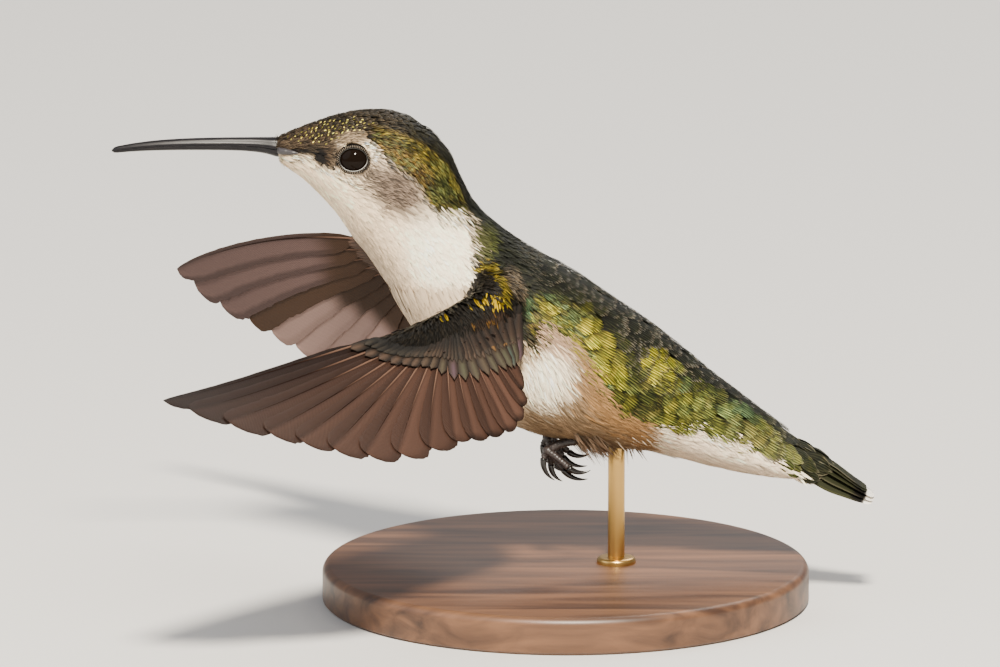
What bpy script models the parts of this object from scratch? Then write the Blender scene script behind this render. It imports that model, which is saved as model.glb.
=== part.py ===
"""Ruby-throated hummingbird, a female, as a life-size museum model on a plain display stand.

The bird hovers, facing -X with +Z up and its left side towards -Y. The origin is the middle
of the stand's underside. Sizes below are in millimetres; MM turns them into metres.

The body is one loft through a few named stations, parted by thin gaps into head, neck, trunk
and rump. Each wing is one flat plan that is swept, drooped, pitched and twisted into place.
"""

import math

import bmesh
import bpy
from mathutils import Matrix, Vector

MM = 0.001
BIRD = "hummingbird"
CUTTERS = "cutters"

# ---------------------------------------------------------------- driving dimensions
GAP = 0.3               # clear gap between two pieces of the body
FINE_GAP = 0.12         # clear gap round the eyes, between the mandibles and at the claws

# Each station: what it is, top of the back (x, z), bottom of the front (x, z), half width.
STATIONS = (
    ("bill base", (-31.0, 50.3), (-30.5, 47.6), 1.3),
    ("lores", (-27.4, 51.8), (-28.1, 46.1), 2.7),
    ("eye", (-23.9, 53.0), (-25.9, 43.9), 4.4),
    ("crown", (-20.5, 53.5), (-24.2, 41.9), 5.2),
    ("hind crown", (-16.7, 53.0), (-22.6, 39.3), 5.6),
    ("nape", (-12.8, 49.9), (-20.8, 37.0), 5.6),
    ("hind neck", (-10.9, 46.0), (-19.7, 35.2), 5.6),
    ("mantle", (-8.9, 42.6), (-18.2, 32.9), 6.2),
    ("shoulders", (-5.7, 39.9), (-16.2, 29.6), 7.0),
    ("upper breast", (-2.1, 37.7), (-13.4, 25.2), 7.7),
    ("keel", (1.4, 35.6), (-9.8, 21.6), 7.9),
    ("lower breast", (4.9, 33.1), (-5.9, 19.1), 7.7),
    ("belly", (8.2, 30.9), (-1.5, 17.8), 7.2),
    ("flanks", (12.0, 27.9), (3.2, 16.9), 6.4),
    ("vent", (16.0, 24.5), (8.5, 16.4), 5.5),
    ("rump", (20.1, 21.2), (14.0, 14.9), 4.8),
    ("tail coverts", (24.0, 18.1), (19.8, 13.8), 4.2),
    ("covert tips", (26.9, 15.9), (24.5, 13.4), 3.8),
)
NECK_FRONT = 4.7        # where the head ends, counted in stations
NECK_BACK = 6.5
RUMP_FRONT = 13.9
SIDES = 28              # points round one body ring
BELLY_FULLNESS = 0.10   # how much wider a ring is below its middle than above

BILL_START = (-31.15, 50.28)
BILL_LENGTH = 17.04
BILL_DROP = 1.38        # how far the tip curves down
BILL_SPLIT = 0.57       # share of the depth that the upper mandible takes

EYE_RADIUS = 1.9
EYE_X = -22.4
EYE_Y = 3.32
EYE_Z = 48.5

# The wing plan: s runs from shoulder to tip, c from leading to trailing edge.
WING_LENGTH = 49.0
HAND_END = 19.3         # where the arm's flesh ends and the outermost primary goes on alone
ROOT_STEP = 1.05        # spacing of the feather roots along the arm
COVERT_DEPTH = 5.3      # chord of the covert-clad arm close to the body
PRIMARY_TIPS = (
    (49.0, 2.9), (47.0, 4.7), (43.9, 6.8), (40.0, 8.7), (36.9, 10.3),
    (33.6, 11.9), (29.8, 13.2), (25.3, 13.8), (20.6, 14.0), (16.6, 14.1),
)
SECONDARY_TIPS = (
    (14.0, 14.8), (11.3, 15.2), (8.8, 15.3), (6.6, 14.6), (4.8, 13.3), (3.6, 11.6),
)
NOTCH = 0.55            # how far the edge steps back between two feather tips
PRIMARY_BOW = 1.15      # how far the outermost primary bows towards the leading edge
PLATE = 0.56            # thickness of the flight feathers as a solid
RIDGE = 0.12            # step where one feather overlaps the next

# Pose of each wing: shoulder, then angles in degrees. Lift is how far the tip bends up, curve
# how far it bends back within the wing, and spread how wide the feathers fan.
LEFT_WING = {
    "side": -1,
    "shoulder": (-8.05, -6.5, 35.65),
    "sweep": 49.5,
    "droop": 13.6,
    "pitch": 57.5,
    "twist": -35.0,
    "lift": 9.0,
    "curve": 0.0,
    "spread": 1.0,
}
RIGHT_WING = {
    "side": 1,
    "shoulder": (-8.25, 6.5, 37.1),
    "sweep": 47.5,
    "droop": 3.2,
    "pitch": 83.0,
    "twist": -16.5,
    "lift": -0.7,
    "curve": 4.1,
    "spread": 1.05,
}

# The tail: ten feathers, closed, in a shallow roof.
TAIL_ROOT = (26.45, 14.5)
TAIL_TIP = (33.0, 11.5)
TAIL_ROOT_WIDTH = 5.6
TAIL_TIP_WIDTH = 5.2
TAIL_THICK = 1.0
TAIL_ARCH = 0.6
TAIL_NOTCH = 0.9

# Feet, clenched under the belly. Angles are in the XZ plane: 0 is back (+X), -90 is down.
LEG_Y = 3.2
THIGH_TOP = (3.6, 20.2)
ANKLE = (1.0, 18.0)
FOOT = (-1.9, 16.95)
TARSUS_RADIUS = 0.37
TOE_RADIUS = 0.32
CLAW_RADIUS = 0.27
# toe: splay sideways, heading, turn along the toe, toe length, then the claw's heading, turn, length
TOES = (
    (-0.85, -34.0, -8.0, 2.8, -44.0, 74.0, 2.4),
    (0.0, -50.0, -4.0, 2.6, -58.0, 70.0, 2.9),
    (0.85, -74.0, -10.0, 1.7, -96.0, 76.0, 2.3),
    (-0.1, -128.0, 12.0, 0.95, -104.0, 78.0, 2.8),
)

BASE_RADIUS = 26.0
BASE_HEIGHT = 4.0
BASE_ROUND = 0.9
ROD_X = 5.4
ROD_RADIUS = 0.9
ROD_TOP = 21.6
ROD_FIT = 0.15          # clear gap round the rod in its two sockets
BASE_SOCKET = 2.6       # how deep the rod stands in the base

# ---------------------------------------------------------------- colours of the solids
COLOURS = {
    "feathers_head": ((0.16, 0.17, 0.12), 0.6, 0.0),
    "feathers_neck": ((0.26, 0.28, 0.16), 0.6, 0.0),
    "feathers_trunk": ((0.24, 0.29, 0.15), 0.6, 0.0),
    "feathers_rump": ((0.20, 0.27, 0.16), 0.6, 0.0),
    "feathers_tail": ((0.07, 0.10, 0.09), 0.5, 0.0),
    "feathers_arm": ((0.16, 0.20, 0.13), 0.6, 0.0),
    "feathers_flight": ((0.10, 0.09, 0.10), 0.5, 0.0),
    "bill_horn": ((0.02, 0.02, 0.025), 0.3, 0.0),
    "eye_dark": ((0.01, 0.008, 0.006), 0.05, 0.0),
    "leg_skin": ((0.05, 0.045, 0.045), 0.5, 0.0),
    "claw_horn": ((0.02, 0.018, 0.018), 0.3, 0.0),
    "walnut": ((0.16, 0.08, 0.04), 0.4, 0.0),
    "brass": ((0.75, 0.56, 0.27), 0.3, 1.0),
}


# ---------------------------------------------------------------- scene helpers
def clear_scene():
    for old in list(bpy.data.objects):
        bpy.data.objects.remove(old, do_unlink=True)


def make_collection(name):
    collection = bpy.data.collections.get(name)
    if collection is None:
        collection = bpy.data.collections.new(name)
        bpy.context.scene.collection.children.link(collection)
    return collection


def make_material(name):
    colour, roughness, metallic = COLOURS[name]
    material = bpy.data.materials.new(name)
    material.use_nodes = True
    shader = material.node_tree.nodes["Principled BSDF"]
    shader.inputs["Base Color"].default_value = (*colour, 1.0)
    shader.inputs["Roughness"].default_value = roughness
    shader.inputs["Metallic"].default_value = metallic
    material.diffuse_color = (*colour, 1.0)
    return material


def add_object(name, bm, material_name):
    """Turn a bmesh in millimetres into a named object in metres with outward normals."""
    bmesh.ops.recalc_face_normals(bm, faces=bm.faces)
    bmesh.ops.scale(bm, vec=(MM, MM, MM), verts=bm.verts)
    mesh = bpy.data.meshes.new(name)
    bm.to_mesh(mesh)
    bm.free()
    obj = bpy.data.objects.new(name, mesh)
    if material_name is None:
        make_collection(CUTTERS).objects.link(obj)
        obj.hide_render = True
        obj.display_type = "WIRE"
    else:
        make_collection(BIRD).objects.link(obj)
        mesh.materials.append(make_material(material_name))
    return obj


def cut(target, cutter):
    """Take the cutter's volume out of the target with an exact boolean."""
    modifier = target.modifiers.new("cut_" + cutter.name, "BOOLEAN")
    modifier.operation = "DIFFERENCE"
    modifier.solver = "EXACT"
    modifier.object = cutter


# ---------------------------------------------------------------- shared shapes
def loft(rings):
    """Close a run of equal rings into one solid, with a flat cap at each end."""
    bm = bmesh.new()
    loops = [[bm.verts.new(point) for point in ring] for ring in rings]
    count = len(loops[0])
    for near, far in zip(loops, loops[1:]):
        for i in range(count):
            j = (i + 1) % count
            bm.faces.new((near[i], near[j], far[j], far[i]))
    bm.faces.new(loops[0])
    bm.faces.new(list(reversed(loops[-1])))
    return bm


def tube(points, radii, sides):
    """Sweep a circle along points that lie in one upright plane parallel to XZ."""
    across = Vector((0.0, 1.0, 0.0))
    rings = []
    for i, point in enumerate(points):
        before = points[max(i - 1, 0)]
        after = points[min(i + 1, len(points) - 1)]
        along = (after - before).normalized()
        up = along.cross(across).normalized()
        side = up.cross(along)
        ring = []
        for k in range(sides):
            angle = 2.0 * math.pi * k / sides
            offset = side * math.cos(angle) + up * math.sin(angle)
            ring.append(point + offset * radii[i])
        rings.append(ring)
    return loft(rings)


def cylinder(radius, bottom, top, x, sides):
    bm = bmesh.new()
    bmesh.ops.create_cone(
        bm, cap_ends=True, segments=sides, radius1=radius, radius2=radius, depth=top - bottom)
    bmesh.ops.translate(bm, vec=(x, 0.0, (top + bottom) / 2.0), verts=bm.verts)
    return bm


# ---------------------------------------------------------------- body
def spline(values, t):
    """Catmull-Rom value through equally spaced values, at place t."""
    last = len(values) - 1
    i = min(max(int(math.floor(t)), 0), last - 1)
    f = t - i
    p1 = values[i]
    p2 = values[i + 1]
    p0 = values[i - 1] if i > 0 else 2.0 * p1 - p2
    p3 = values[i + 2] if i + 2 <= last else 2.0 * p2 - p1
    a = 2.0 * p1
    b = p2 - p0
    c = 2.0 * p0 - 5.0 * p1 + 4.0 * p2 - p3
    d = -p0 + 3.0 * p1 - 3.0 * p2 + p3
    return 0.5 * (a + b * f + c * f * f + d * f * f * f)


def body_section(t):
    """Top point, bottom point and half width of the body at station t."""
    top_x = spline([s[1][0] for s in STATIONS], t)
    top_z = spline([s[1][1] for s in STATIONS], t)
    bottom_x = spline([s[2][0] for s in STATIONS], t)
    bottom_z = spline([s[2][1] for s in STATIONS], t)
    half = spline([s[3] for s in STATIONS], t)
    return Vector((top_x, 0.0, top_z)), Vector((bottom_x, 0.0, bottom_z)), half


def body_ring(t, grow=0.0):
    top, bottom, half = body_section(t)
    middle = (top + bottom) / 2.0
    up = (top - bottom) / 2.0
    up += up.normalized() * grow
    half += grow
    ring = []
    for k in range(SIDES):
        angle = 2.0 * math.pi * k / SIDES
        width = half * math.sin(angle) * (1.0 - BELLY_FULLNESS * math.cos(angle))
        ring.append(middle + up * math.cos(angle) + Vector((0.0, width, 0.0)))
    return ring


def station_step(t, distance):
    """How far t must change for the middle of the ring to move by the distance."""
    middles = []
    for place in (t - 0.05, t + 0.05):
        top, bottom, _ = body_section(place)
        middles.append((top + bottom) / 2.0)
    return distance * 0.1 / (middles[1] - middles[0]).length


def body_piece(start, end, grow=0.0):
    count = max(2, int(round((end - start) * 1.7)))
    places = [start + (end - start) * i / count for i in range(count + 1)]
    return loft([body_ring(t, grow) for t in places])


def make_body():
    last = len(STATIONS) - 1
    cuts = (NECK_FRONT, NECK_BACK, RUMP_FRONT)
    edges = [0.0]
    for place in cuts:
        half_gap = station_step(place, GAP / 2.0)
        edges += [place - half_gap, place + half_gap]
    edges.append(last)
    pieces = {}
    for i, name in enumerate(("head", "neck", "trunk", "rump")):
        bm = body_piece(edges[2 * i], edges[2 * i + 1])
        pieces[name] = add_object(name, bm, "feathers_" + name)
    return pieces


# ---------------------------------------------------------------- bill and eyes
def bill_depth(u):
    return 0.32 + 1.23 * (1.0 - u ** 3) + 0.75 * math.exp(-u / 0.1)


def bill_top(u):
    return BILL_START[1] - 0.12 * u - BILL_DROP * u ** 5


def make_mandible(name, upper):
    rings = []
    steps = 9
    arc = 8
    for i in range(steps + 1):
        u = (i / steps) ** 0.85
        depth = bill_depth(u)
        split = bill_top(u) - BILL_SPLIT * depth
        reach = BILL_SPLIT * depth if upper else (1.0 - BILL_SPLIT) * depth
        sign = 1.0 if upper else -1.0
        half = 0.46 * depth
        ring = []
        for k in range(arc + 1):
            angle = math.pi * k / arc
            y = half * math.cos(angle)
            z = split + sign * (FINE_GAP / 2.0 + (reach - FINE_GAP / 2.0) * math.sin(angle))
            x = BILL_START[0] + (BILL_START[1] - z) * 0.185 * (1.0 - u) - BILL_LENGTH * u
            ring.append(Vector((x, y, z)))
        rings.append(ring)
    return add_object(name, loft(rings), "bill_horn")


def eye_ball(radius, side):
    bm = bmesh.new()
    bmesh.ops.create_uvsphere(bm, u_segments=16, v_segments=8, radius=radius)
    bmesh.ops.rotate(
        bm, verts=bm.verts, cent=(0.0, 0.0, 0.0), matrix=Matrix.Rotation(math.pi / 2.0, 3, "X"))
    bmesh.ops.translate(bm, vec=(EYE_X, side * EYE_Y, EYE_Z), verts=bm.verts)
    return bm


def make_eyes(head):
    for name, side in (("left", -1), ("right", 1)):
        add_object("eye_" + name, eye_ball(EYE_RADIUS, side), "eye_dark")
        cutter = add_object("cut_eye_" + name, eye_ball(EYE_RADIUS + FINE_GAP, side), None)
        cut(head, cutter)


# ---------------------------------------------------------------- wings
def wing_point(pose, s, c, n):
    """A point of the wing plan, n above its surface, placed by the wing's pose."""
    sweep = math.radians(pose["sweep"])
    droop = math.radians(pose["droop"])
    share = s / WING_LENGTH
    pitch = math.radians(pose["pitch"] + pose["twist"] * share)
    side = pose["side"]
    out = Vector((
        -math.sin(sweep) * math.cos(droop),
        side * math.cos(sweep) * math.cos(droop),
        -math.sin(droop)))
    back = Vector((math.cos(sweep), side * math.sin(sweep), 0.0))
    back = (back - out * back.dot(out)).normalized()
    up = out.cross(back) * -side
    chord = back * math.cos(pitch) - up * math.sin(pitch)
    normal = up * math.cos(pitch) + back * math.sin(pitch)
    bend = share * abs(share)
    c = c * pose["spread"] + pose["curve"] * bend
    rise = n + pose["lift"] * bend
    return Vector(pose["shoulder"]) + out * s + chord * c + normal * rise


def feather_root(u):
    """Inner edge of the flight feathers beside feather place u, 0 at the leading edge."""
    return HAND_END - ROOT_STEP * u, COVERT_DEPTH * (1.0 - math.exp(-u / 4.0)) + 0.1


def feather_line(u, v, tip, bow):
    """Point on a feather's line, v from 0 at its root to 1 at its tip."""
    root_s, root_c = feather_root(u)
    s = root_s + (tip[0] - root_s) * v
    c = root_c + (tip[1] - root_c) * v
    along = Vector((tip[0] - root_s, tip[1] - root_c)).normalized()
    hump = bow * 4.0 * v * (1.0 - v)
    return s + along.y * hump, c - along.x * hump


def notch_point(u, tips, k):
    """Where the edge steps back between feather tips k and k + 1."""
    middle = (Vector(tips[k]) + Vector(tips[k + 1])) / 2.0
    root = Vector(feather_root(u))
    return middle + (root - middle).normalized() * NOTCH


def edge_columns(first, last):
    """Feather places across a vane, each with its share across its feather and its end."""
    tips = PRIMARY_TIPS + SECONDARY_TIPS
    columns = []
    for k in range(first, last):
        tip = Vector(tips[k])
        outer = tip + Vector((0.2, -0.5))
        inner = tip + Vector((-0.6, -0.9))
        if k > 0:
            outer = notch_point(k, tips, k - 1)
        if k + 1 < len(tips):
            inner = notch_point(k + 1, tips, k)
        if k == first and k > 0:
            outer = outer + (tip - outer).normalized() * GAP / 2.0
        if k == last - 1 and k + 1 < len(tips):
            inner = inner + (tip - inner).normalized() * GAP / 2.0
        columns += [(k + 0.03, 0.03, outer), (k + 0.5, 0.5, tip), (k + 0.97, 0.97, inner)]
    return columns


def make_vane(name, pose, first, last, rows):
    """One closed plate of overlapping flight feathers."""
    columns = edge_columns(first, last)
    bm = bmesh.new()
    sheets = []
    for level in (1.0, -1.0):
        sheet = []
        for u, shift, tip in columns:
            bow = PRIMARY_BOW * math.exp(-u / 4.0)
            line = []
            for j in range(rows + 1):
                v = j / rows
                s, c = feather_line(u, v, tip, bow)
                n = level * PLATE / 2.0 + RIDGE * (0.5 - shift)
                line.append(bm.verts.new(wing_point(pose, s, c, n)))
            sheet.append(line)
        sheets.append(sheet)
    upper, lower = sheets
    end = len(columns) - 1
    for i in range(end):
        for j in range(rows):
            for sheet in sheets:
                bm.faces.new((sheet[i][j], sheet[i + 1][j], sheet[i + 1][j + 1], sheet[i][j + 1]))
        for j in (0, rows):
            bm.faces.new((upper[i][j], upper[i + 1][j], lower[i + 1][j], lower[i][j]))
    for i in (0, end):
        for j in range(rows):
            bm.faces.new((upper[i][j], upper[i][j + 1], lower[i][j + 1], lower[i][j]))
    return add_object(name, bm, "feathers_flight")


def leading_edge(s):
    return 0.15 - 1.7 * math.exp(-max(s, 0.0) / 2.2)


def make_arm(name, pose, trunk_cutter):
    """The arm and hand under their coverts, from inside the shoulder to the hand's end."""
    stations = (-2.0, 0.0, 2.0, 4.0, 6.5, 9.0, 11.5, 14.0, 16.5, 18.4)
    sides = 14
    rings = []
    for s in stations:
        u = (HAND_END - s) / ROOT_STEP
        front = leading_edge(s)
        rear = feather_root(u)[1] - GAP - 0.1
        middle = (front + rear) / 2.0
        half = (rear - front) / 2.0
        thick = 0.42 + 1.5 * math.exp(-max(s, 0.0) / 4.5)
        ring = []
        for k in range(sides):
            angle = 2.0 * math.pi * k / sides
            c = middle - half * math.cos(angle)
            n = thick * math.sin(angle) * (1.0 + 0.35 * math.cos(angle))
            ring.append(wing_point(pose, s, c, n))
        rings.append(ring)
    arm = add_object(name, loft(rings), "feathers_arm")
    cut(arm, trunk_cutter)


def make_wing(label, pose, trunk_cutter):
    make_arm("wing_" + label + "_arm", pose, trunk_cutter)
    split = len(PRIMARY_TIPS)
    make_vane("wing_" + label + "_primaries", pose, 0, split, 7)
    make_vane("wing_" + label + "_secondaries", pose, split, split + len(SECONDARY_TIPS), 5)


# ---------------------------------------------------------------- tail
def make_tail():
    """The closed tail: a thin arched plate whose end is two rounded lobes."""
    root = Vector((TAIL_ROOT[0], 0.0, TAIL_ROOT[1]))
    tip = Vector((TAIL_TIP[0], 0.0, TAIL_TIP[1]))
    along = (tip - root).normalized()
    up = Vector((along.z, 0.0, -along.x)) * -1.0
    length = (tip - root).length
    rings = []
    steps = 7
    half_count = 9
    for i in range(steps + 1):
        v = i / steps
        half = (TAIL_ROOT_WIDTH + (TAIL_TIP_WIDTH - TAIL_ROOT_WIDTH) * v) / 2.0
        thick = TAIL_THICK * (1.0 - 0.4 * v)
        ring = []
        for level in (1.0, -1.0):
            for k in range(half_count):
                w = -1.0 + 2.0 * k / (half_count - 1)
                w *= level
                lobe = 1.0 - abs(abs(w) - 0.55) ** 2 / 0.3025
                reach = length - TAIL_NOTCH * (1.0 - max(lobe, -0.6))
                arch = TAIL_ARCH * (1.0 - w * w)
                point = root + along * (reach * v) + up * (arch + level * thick / 2.0)
                ring.append(point + Vector((0.0, half * w, 0.0)))
        rings.append(ring)
    return add_object("tail", loft(rings), "feathers_tail")


# ---------------------------------------------------------------- legs and feet
def curl(start, heading, turn, length, steps):
    """Points of a line that starts at an angle and turns evenly along its length."""
    points = [start.copy()]
    for i in range(steps):
        angle = math.radians(heading + turn * (i + 0.5) / steps)
        step = Vector((math.cos(angle), 0.0, math.sin(angle))) * (length / steps)
        points.append(points[-1] + step)
    return points


def join_by_union(name, solids, material_name):
    """Join solids into the first one with exact unions and keep the rest as cutters."""
    first = add_object(name, solids[0], material_name)
    for i, bm in enumerate(solids[1:]):
        mate = add_object("cut_" + name + "_" + str(i + 1), bm, None)
        modifier = first.modifiers.new("join_" + str(i + 1), "BOOLEAN")
        modifier.operation = "UNION"
        modifier.solver = "EXACT"
        modifier.object = mate
    return first


def make_leg(label, side, trunk_cutter):
    y = side * LEG_Y
    thigh = Vector((THIGH_TOP[0], y, THIGH_TOP[1]))
    ankle = Vector((ANKLE[0], y, ANKLE[1]))
    foot = Vector((FOOT[0], y, FOOT[1]))
    points = [thigh, thigh.lerp(ankle, 0.6), ankle, ankle.lerp(foot, 0.2), foot]
    radii = [1.6, 1.25, 0.75, TARSUS_RADIUS, TARSUS_RADIUS]
    end = (points[-1] - points[-2]).normalized()
    points[-1] = points[-1] - end * (TARSUS_RADIUS + FINE_GAP + 0.35)
    leg = add_object("leg_" + label, tube(points, radii, 12), "leg_skin")
    cut(leg, trunk_cutter)

    pad = bmesh.new()
    bmesh.ops.create_uvsphere(pad, u_segments=10, v_segments=6, radius=0.62)
    bmesh.ops.translate(pad, vec=foot, verts=pad.verts)
    solids = [pad]
    for number, toe in enumerate(TOES):
        splay, heading, turn, length, claw_heading, claw_turn, claw_length = toe
        start = foot + Vector((0.0, -side * splay * 0.35, 0.0))
        points = curl(start, heading, turn, length, 4)
        for i, point in enumerate(points):
            point.y += -side * splay * 0.65 * i / 4.0
        radii = [TOE_RADIUS * (1.0 - 0.05 * i) for i in range(5)]
        solids.append(tube(points, radii, 8))
        reach = (points[-1] - points[-2]).normalized() * FINE_GAP
        claw = curl(points[-1] + reach, claw_heading, claw_turn, claw_length, 6)
        radii = [CLAW_RADIUS * (1.0 - 0.8 * (i / 6.0) ** 1.8) for i in range(7)]
        add_object("claw_" + label + "_" + str(number + 1), tube(claw, radii, 7), "claw_horn")
    join_by_union("foot_" + label, solids, "leg_skin")


# ---------------------------------------------------------------- display stand
def make_stand(trunk):
    bm = cylinder(BASE_RADIUS, 0.0, BASE_HEIGHT, 0.0, 48)
    base = add_object("stand_base", bm, "walnut")
    rim = base.modifiers.new("round_rim", "BEVEL")
    rim.width = BASE_ROUND * MM
    rim.segments = 2
    rim.limit_method = "ANGLE"
    rim.angle_limit = math.radians(40.0)
    foot = BASE_HEIGHT - BASE_SOCKET
    add_object("stand_rod", cylinder(ROD_RADIUS, foot, ROD_TOP, ROD_X, 20), "brass")
    hole = ROD_RADIUS + ROD_FIT
    low = add_object("cut_base_socket", cylinder(hole, foot - ROD_FIT, 8.0, ROD_X, 20), None)
    cut(base, low)
    high = add_object("cut_body_socket", cylinder(hole, 10.0, ROD_TOP + ROD_FIT, ROD_X, 20), None)
    cut(trunk, high)


def main():
    clear_scene()
    body = make_body()
    make_mandible("bill_upper", True)
    make_mandible("bill_lower", False)
    make_eyes(body["head"])
    room = station_step(NECK_BACK, GAP)
    bm = body_piece(NECK_BACK - room, RUMP_FRONT + room, GAP)
    trunk_cutter = add_object("cut_trunk_room", bm, None)
    make_wing("left", LEFT_WING, trunk_cutter)
    make_wing("right", RIGHT_WING, trunk_cutter)
    make_tail()
    make_leg("left", -1, trunk_cutter)
    make_leg("right", 1, trunk_cutter)
    make_stand(body["trunk"])


main()
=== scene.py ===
# %% [markdown]
# # A hummingbird on its display stand
#
# The frame holds the bird's solids at life size. This script dresses them: one skin under
# all of the body, then thousands of small feathers, then the long feathers of the wings and
# tail, and last the bill, eyes, feet and stand. Lengths are in millimetres until a mesh is
# made, because a bird this small is easier to think about that way.

import math

import bmesh
import bpy
import numpy as np
from mathutils import Matrix, Vector
from mathutils.kdtree import KDTree


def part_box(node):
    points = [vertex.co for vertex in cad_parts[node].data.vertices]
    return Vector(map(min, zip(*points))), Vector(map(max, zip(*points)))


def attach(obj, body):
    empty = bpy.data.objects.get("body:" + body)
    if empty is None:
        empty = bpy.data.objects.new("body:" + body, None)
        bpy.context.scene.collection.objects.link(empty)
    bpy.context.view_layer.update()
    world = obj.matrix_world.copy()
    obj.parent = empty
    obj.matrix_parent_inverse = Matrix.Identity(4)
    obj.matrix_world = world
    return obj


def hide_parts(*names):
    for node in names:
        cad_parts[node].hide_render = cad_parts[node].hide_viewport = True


MM = 0.001
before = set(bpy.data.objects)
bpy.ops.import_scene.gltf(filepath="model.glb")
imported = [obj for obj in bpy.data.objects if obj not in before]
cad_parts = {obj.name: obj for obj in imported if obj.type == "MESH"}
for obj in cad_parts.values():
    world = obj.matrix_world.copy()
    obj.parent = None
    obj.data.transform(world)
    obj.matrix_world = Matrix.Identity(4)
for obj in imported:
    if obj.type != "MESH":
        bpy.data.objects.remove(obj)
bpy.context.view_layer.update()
rng = np.random.default_rng(7)
print("frame nodes:", len(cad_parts))

# %% [markdown]
# ## Camera, light and floor
#
# A bird this small is seen best through a long lens from a little above, which flattens it
# and shows all of its side. Any lens would do for the mesh, but the markings below are laid
# out along the same line of sight, so its tilt is a named value.

# %% Camera
FRAME_WIDTH = 106.4
AIM = Vector((-7.02, 0.0, 29.0))
CAMERA_LIFT = 12.0
CAMERA_DISTANCE = 1200.0
SENSOR = 36.0


def new_object(name, data):
    thing = bpy.data.objects.new(name, data)
    bpy.context.scene.collection.objects.link(thing)
    return thing


def stand_off(azimuth, elevation, distance):
    """The place this far from the aim, at these angles in degrees."""
    a = math.radians(azimuth)
    e = math.radians(elevation)
    return AIM + Vector((math.sin(a) * math.cos(e), -math.cos(a) * math.cos(e), math.sin(e))) * distance


def place_facing(thing, spot):
    thing.location = spot * MM
    thing.rotation_euler = (AIM - spot).to_track_quat("-Z", "Y").to_euler()


def make_camera():
    data = bpy.data.cameras.new("camera")
    data.sensor_width = SENSOR
    data.lens = SENSOR * CAMERA_DISTANCE / FRAME_WIDTH
    data.clip_start = 0.01
    data.clip_end = 50.0
    camera = new_object("camera", data)
    place_facing(camera, stand_off(0.0, CAMERA_LIFT, CAMERA_DISTANCE))
    bpy.context.scene.camera = camera
    print("lens", round(data.lens), "mm")


make_camera()

# %% [markdown]
# The key light is small and high beside the camera, so feathers glint and the eye gets one
# bright spot. A broad cool light fills the shadows, and a weak one from behind parts the dark
# back from the wall.

# %% Lights
def make_light(name, azimuth, elevation, distance, size, watts, colour):
    data = bpy.data.lights.new(name, "AREA")
    data.shape = "DISK"
    data.size = size
    data.energy = watts
    data.color = colour
    place_facing(new_object(name, data), stand_off(azimuth, elevation, distance))
    print(name, "light of", watts, "W")


make_light("key", 5.0, 50.0, 900.0, 0.13, 27.0, (1.0, 0.92, 0.79))
make_light("fill", -70.0, 35.0, 2200.0, 2.4, 22.0, (0.9, 0.95, 1.0))
make_light("rim", 160.0, 45.0, 900.0, 0.6, 5.0, (1.0, 0.97, 0.92))
world = bpy.data.worlds.new("studio")
world.use_nodes = True
sky = world.node_tree.nodes["Background"]
sky.inputs["Color"].default_value = (0.95, 0.95, 1.0, 1.0)
sky.inputs["Strength"].default_value = 0.36
bpy.context.scene.world = world

# %% [markdown]
# Most finishes here start the same way, so one helper starts a material and the next paints
# it in one colour. A paint chart gives colours from 0 to 255 as the eye spaces them, and the
# shader wants them linear.

# %% Materials and the floor
def new_material(name, roughness, specular=0.5):
    """A material, its nodes and its shader."""
    material = bpy.data.materials.new(name)
    material.use_nodes = True
    nodes = material.node_tree.nodes
    shader = nodes["Principled BSDF"]
    shader.inputs["Roughness"].default_value = roughness
    shader.inputs["Specular IOR Level"].default_value = specular
    return material, nodes, shader


def plain_material(name, colour, roughness, metallic=0.0, specular=0.5):
    material, _, shader = new_material(name, roughness, specular)
    shader.inputs["Base Color"].default_value = (*colour, 1.0)
    shader.inputs["Metallic"].default_value = metallic
    return material


def srgb(red, green, blue):
    """Linear colour from the 0 to 255 values that a paint chart gives."""
    values = np.array((red, green, blue)) / 255.0
    return np.where(values <= 0.04045, values / 12.92, ((values + 0.055) / 1.055) ** 2.4)


def smooth_faces(mesh):
    mesh.polygons.foreach_set("use_smooth", np.ones(len(mesh.polygons), bool))


def finished(bm, name):
    """Turn a bmesh into a mesh, shaded smooth."""
    mesh = bpy.data.meshes.new(name)
    bm.to_mesh(mesh)
    bm.free()
    smooth_faces(mesh)
    return mesh


def make_floor():
    bm = bmesh.new()
    bmesh.ops.create_grid(bm, x_segments=1, y_segments=1, size=6.0)
    floor = new_object("floor", finished(bm, "floor"))
    floor.data.materials.append(plain_material("pale_floor", (0.62, 0.61, 0.59), 0.9))


make_floor()

# %% [markdown]
# ## Where the colours lie
#
# A female is green above and pale below. One line along her side parts the two: from the
# bill, over the ear, down the neck, along the flank to the tail. Everything else is a patch
# at a known place beside that line. The same function colours the skin and every feather, so
# no gap between feathers ever shows a wrong colour.

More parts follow.
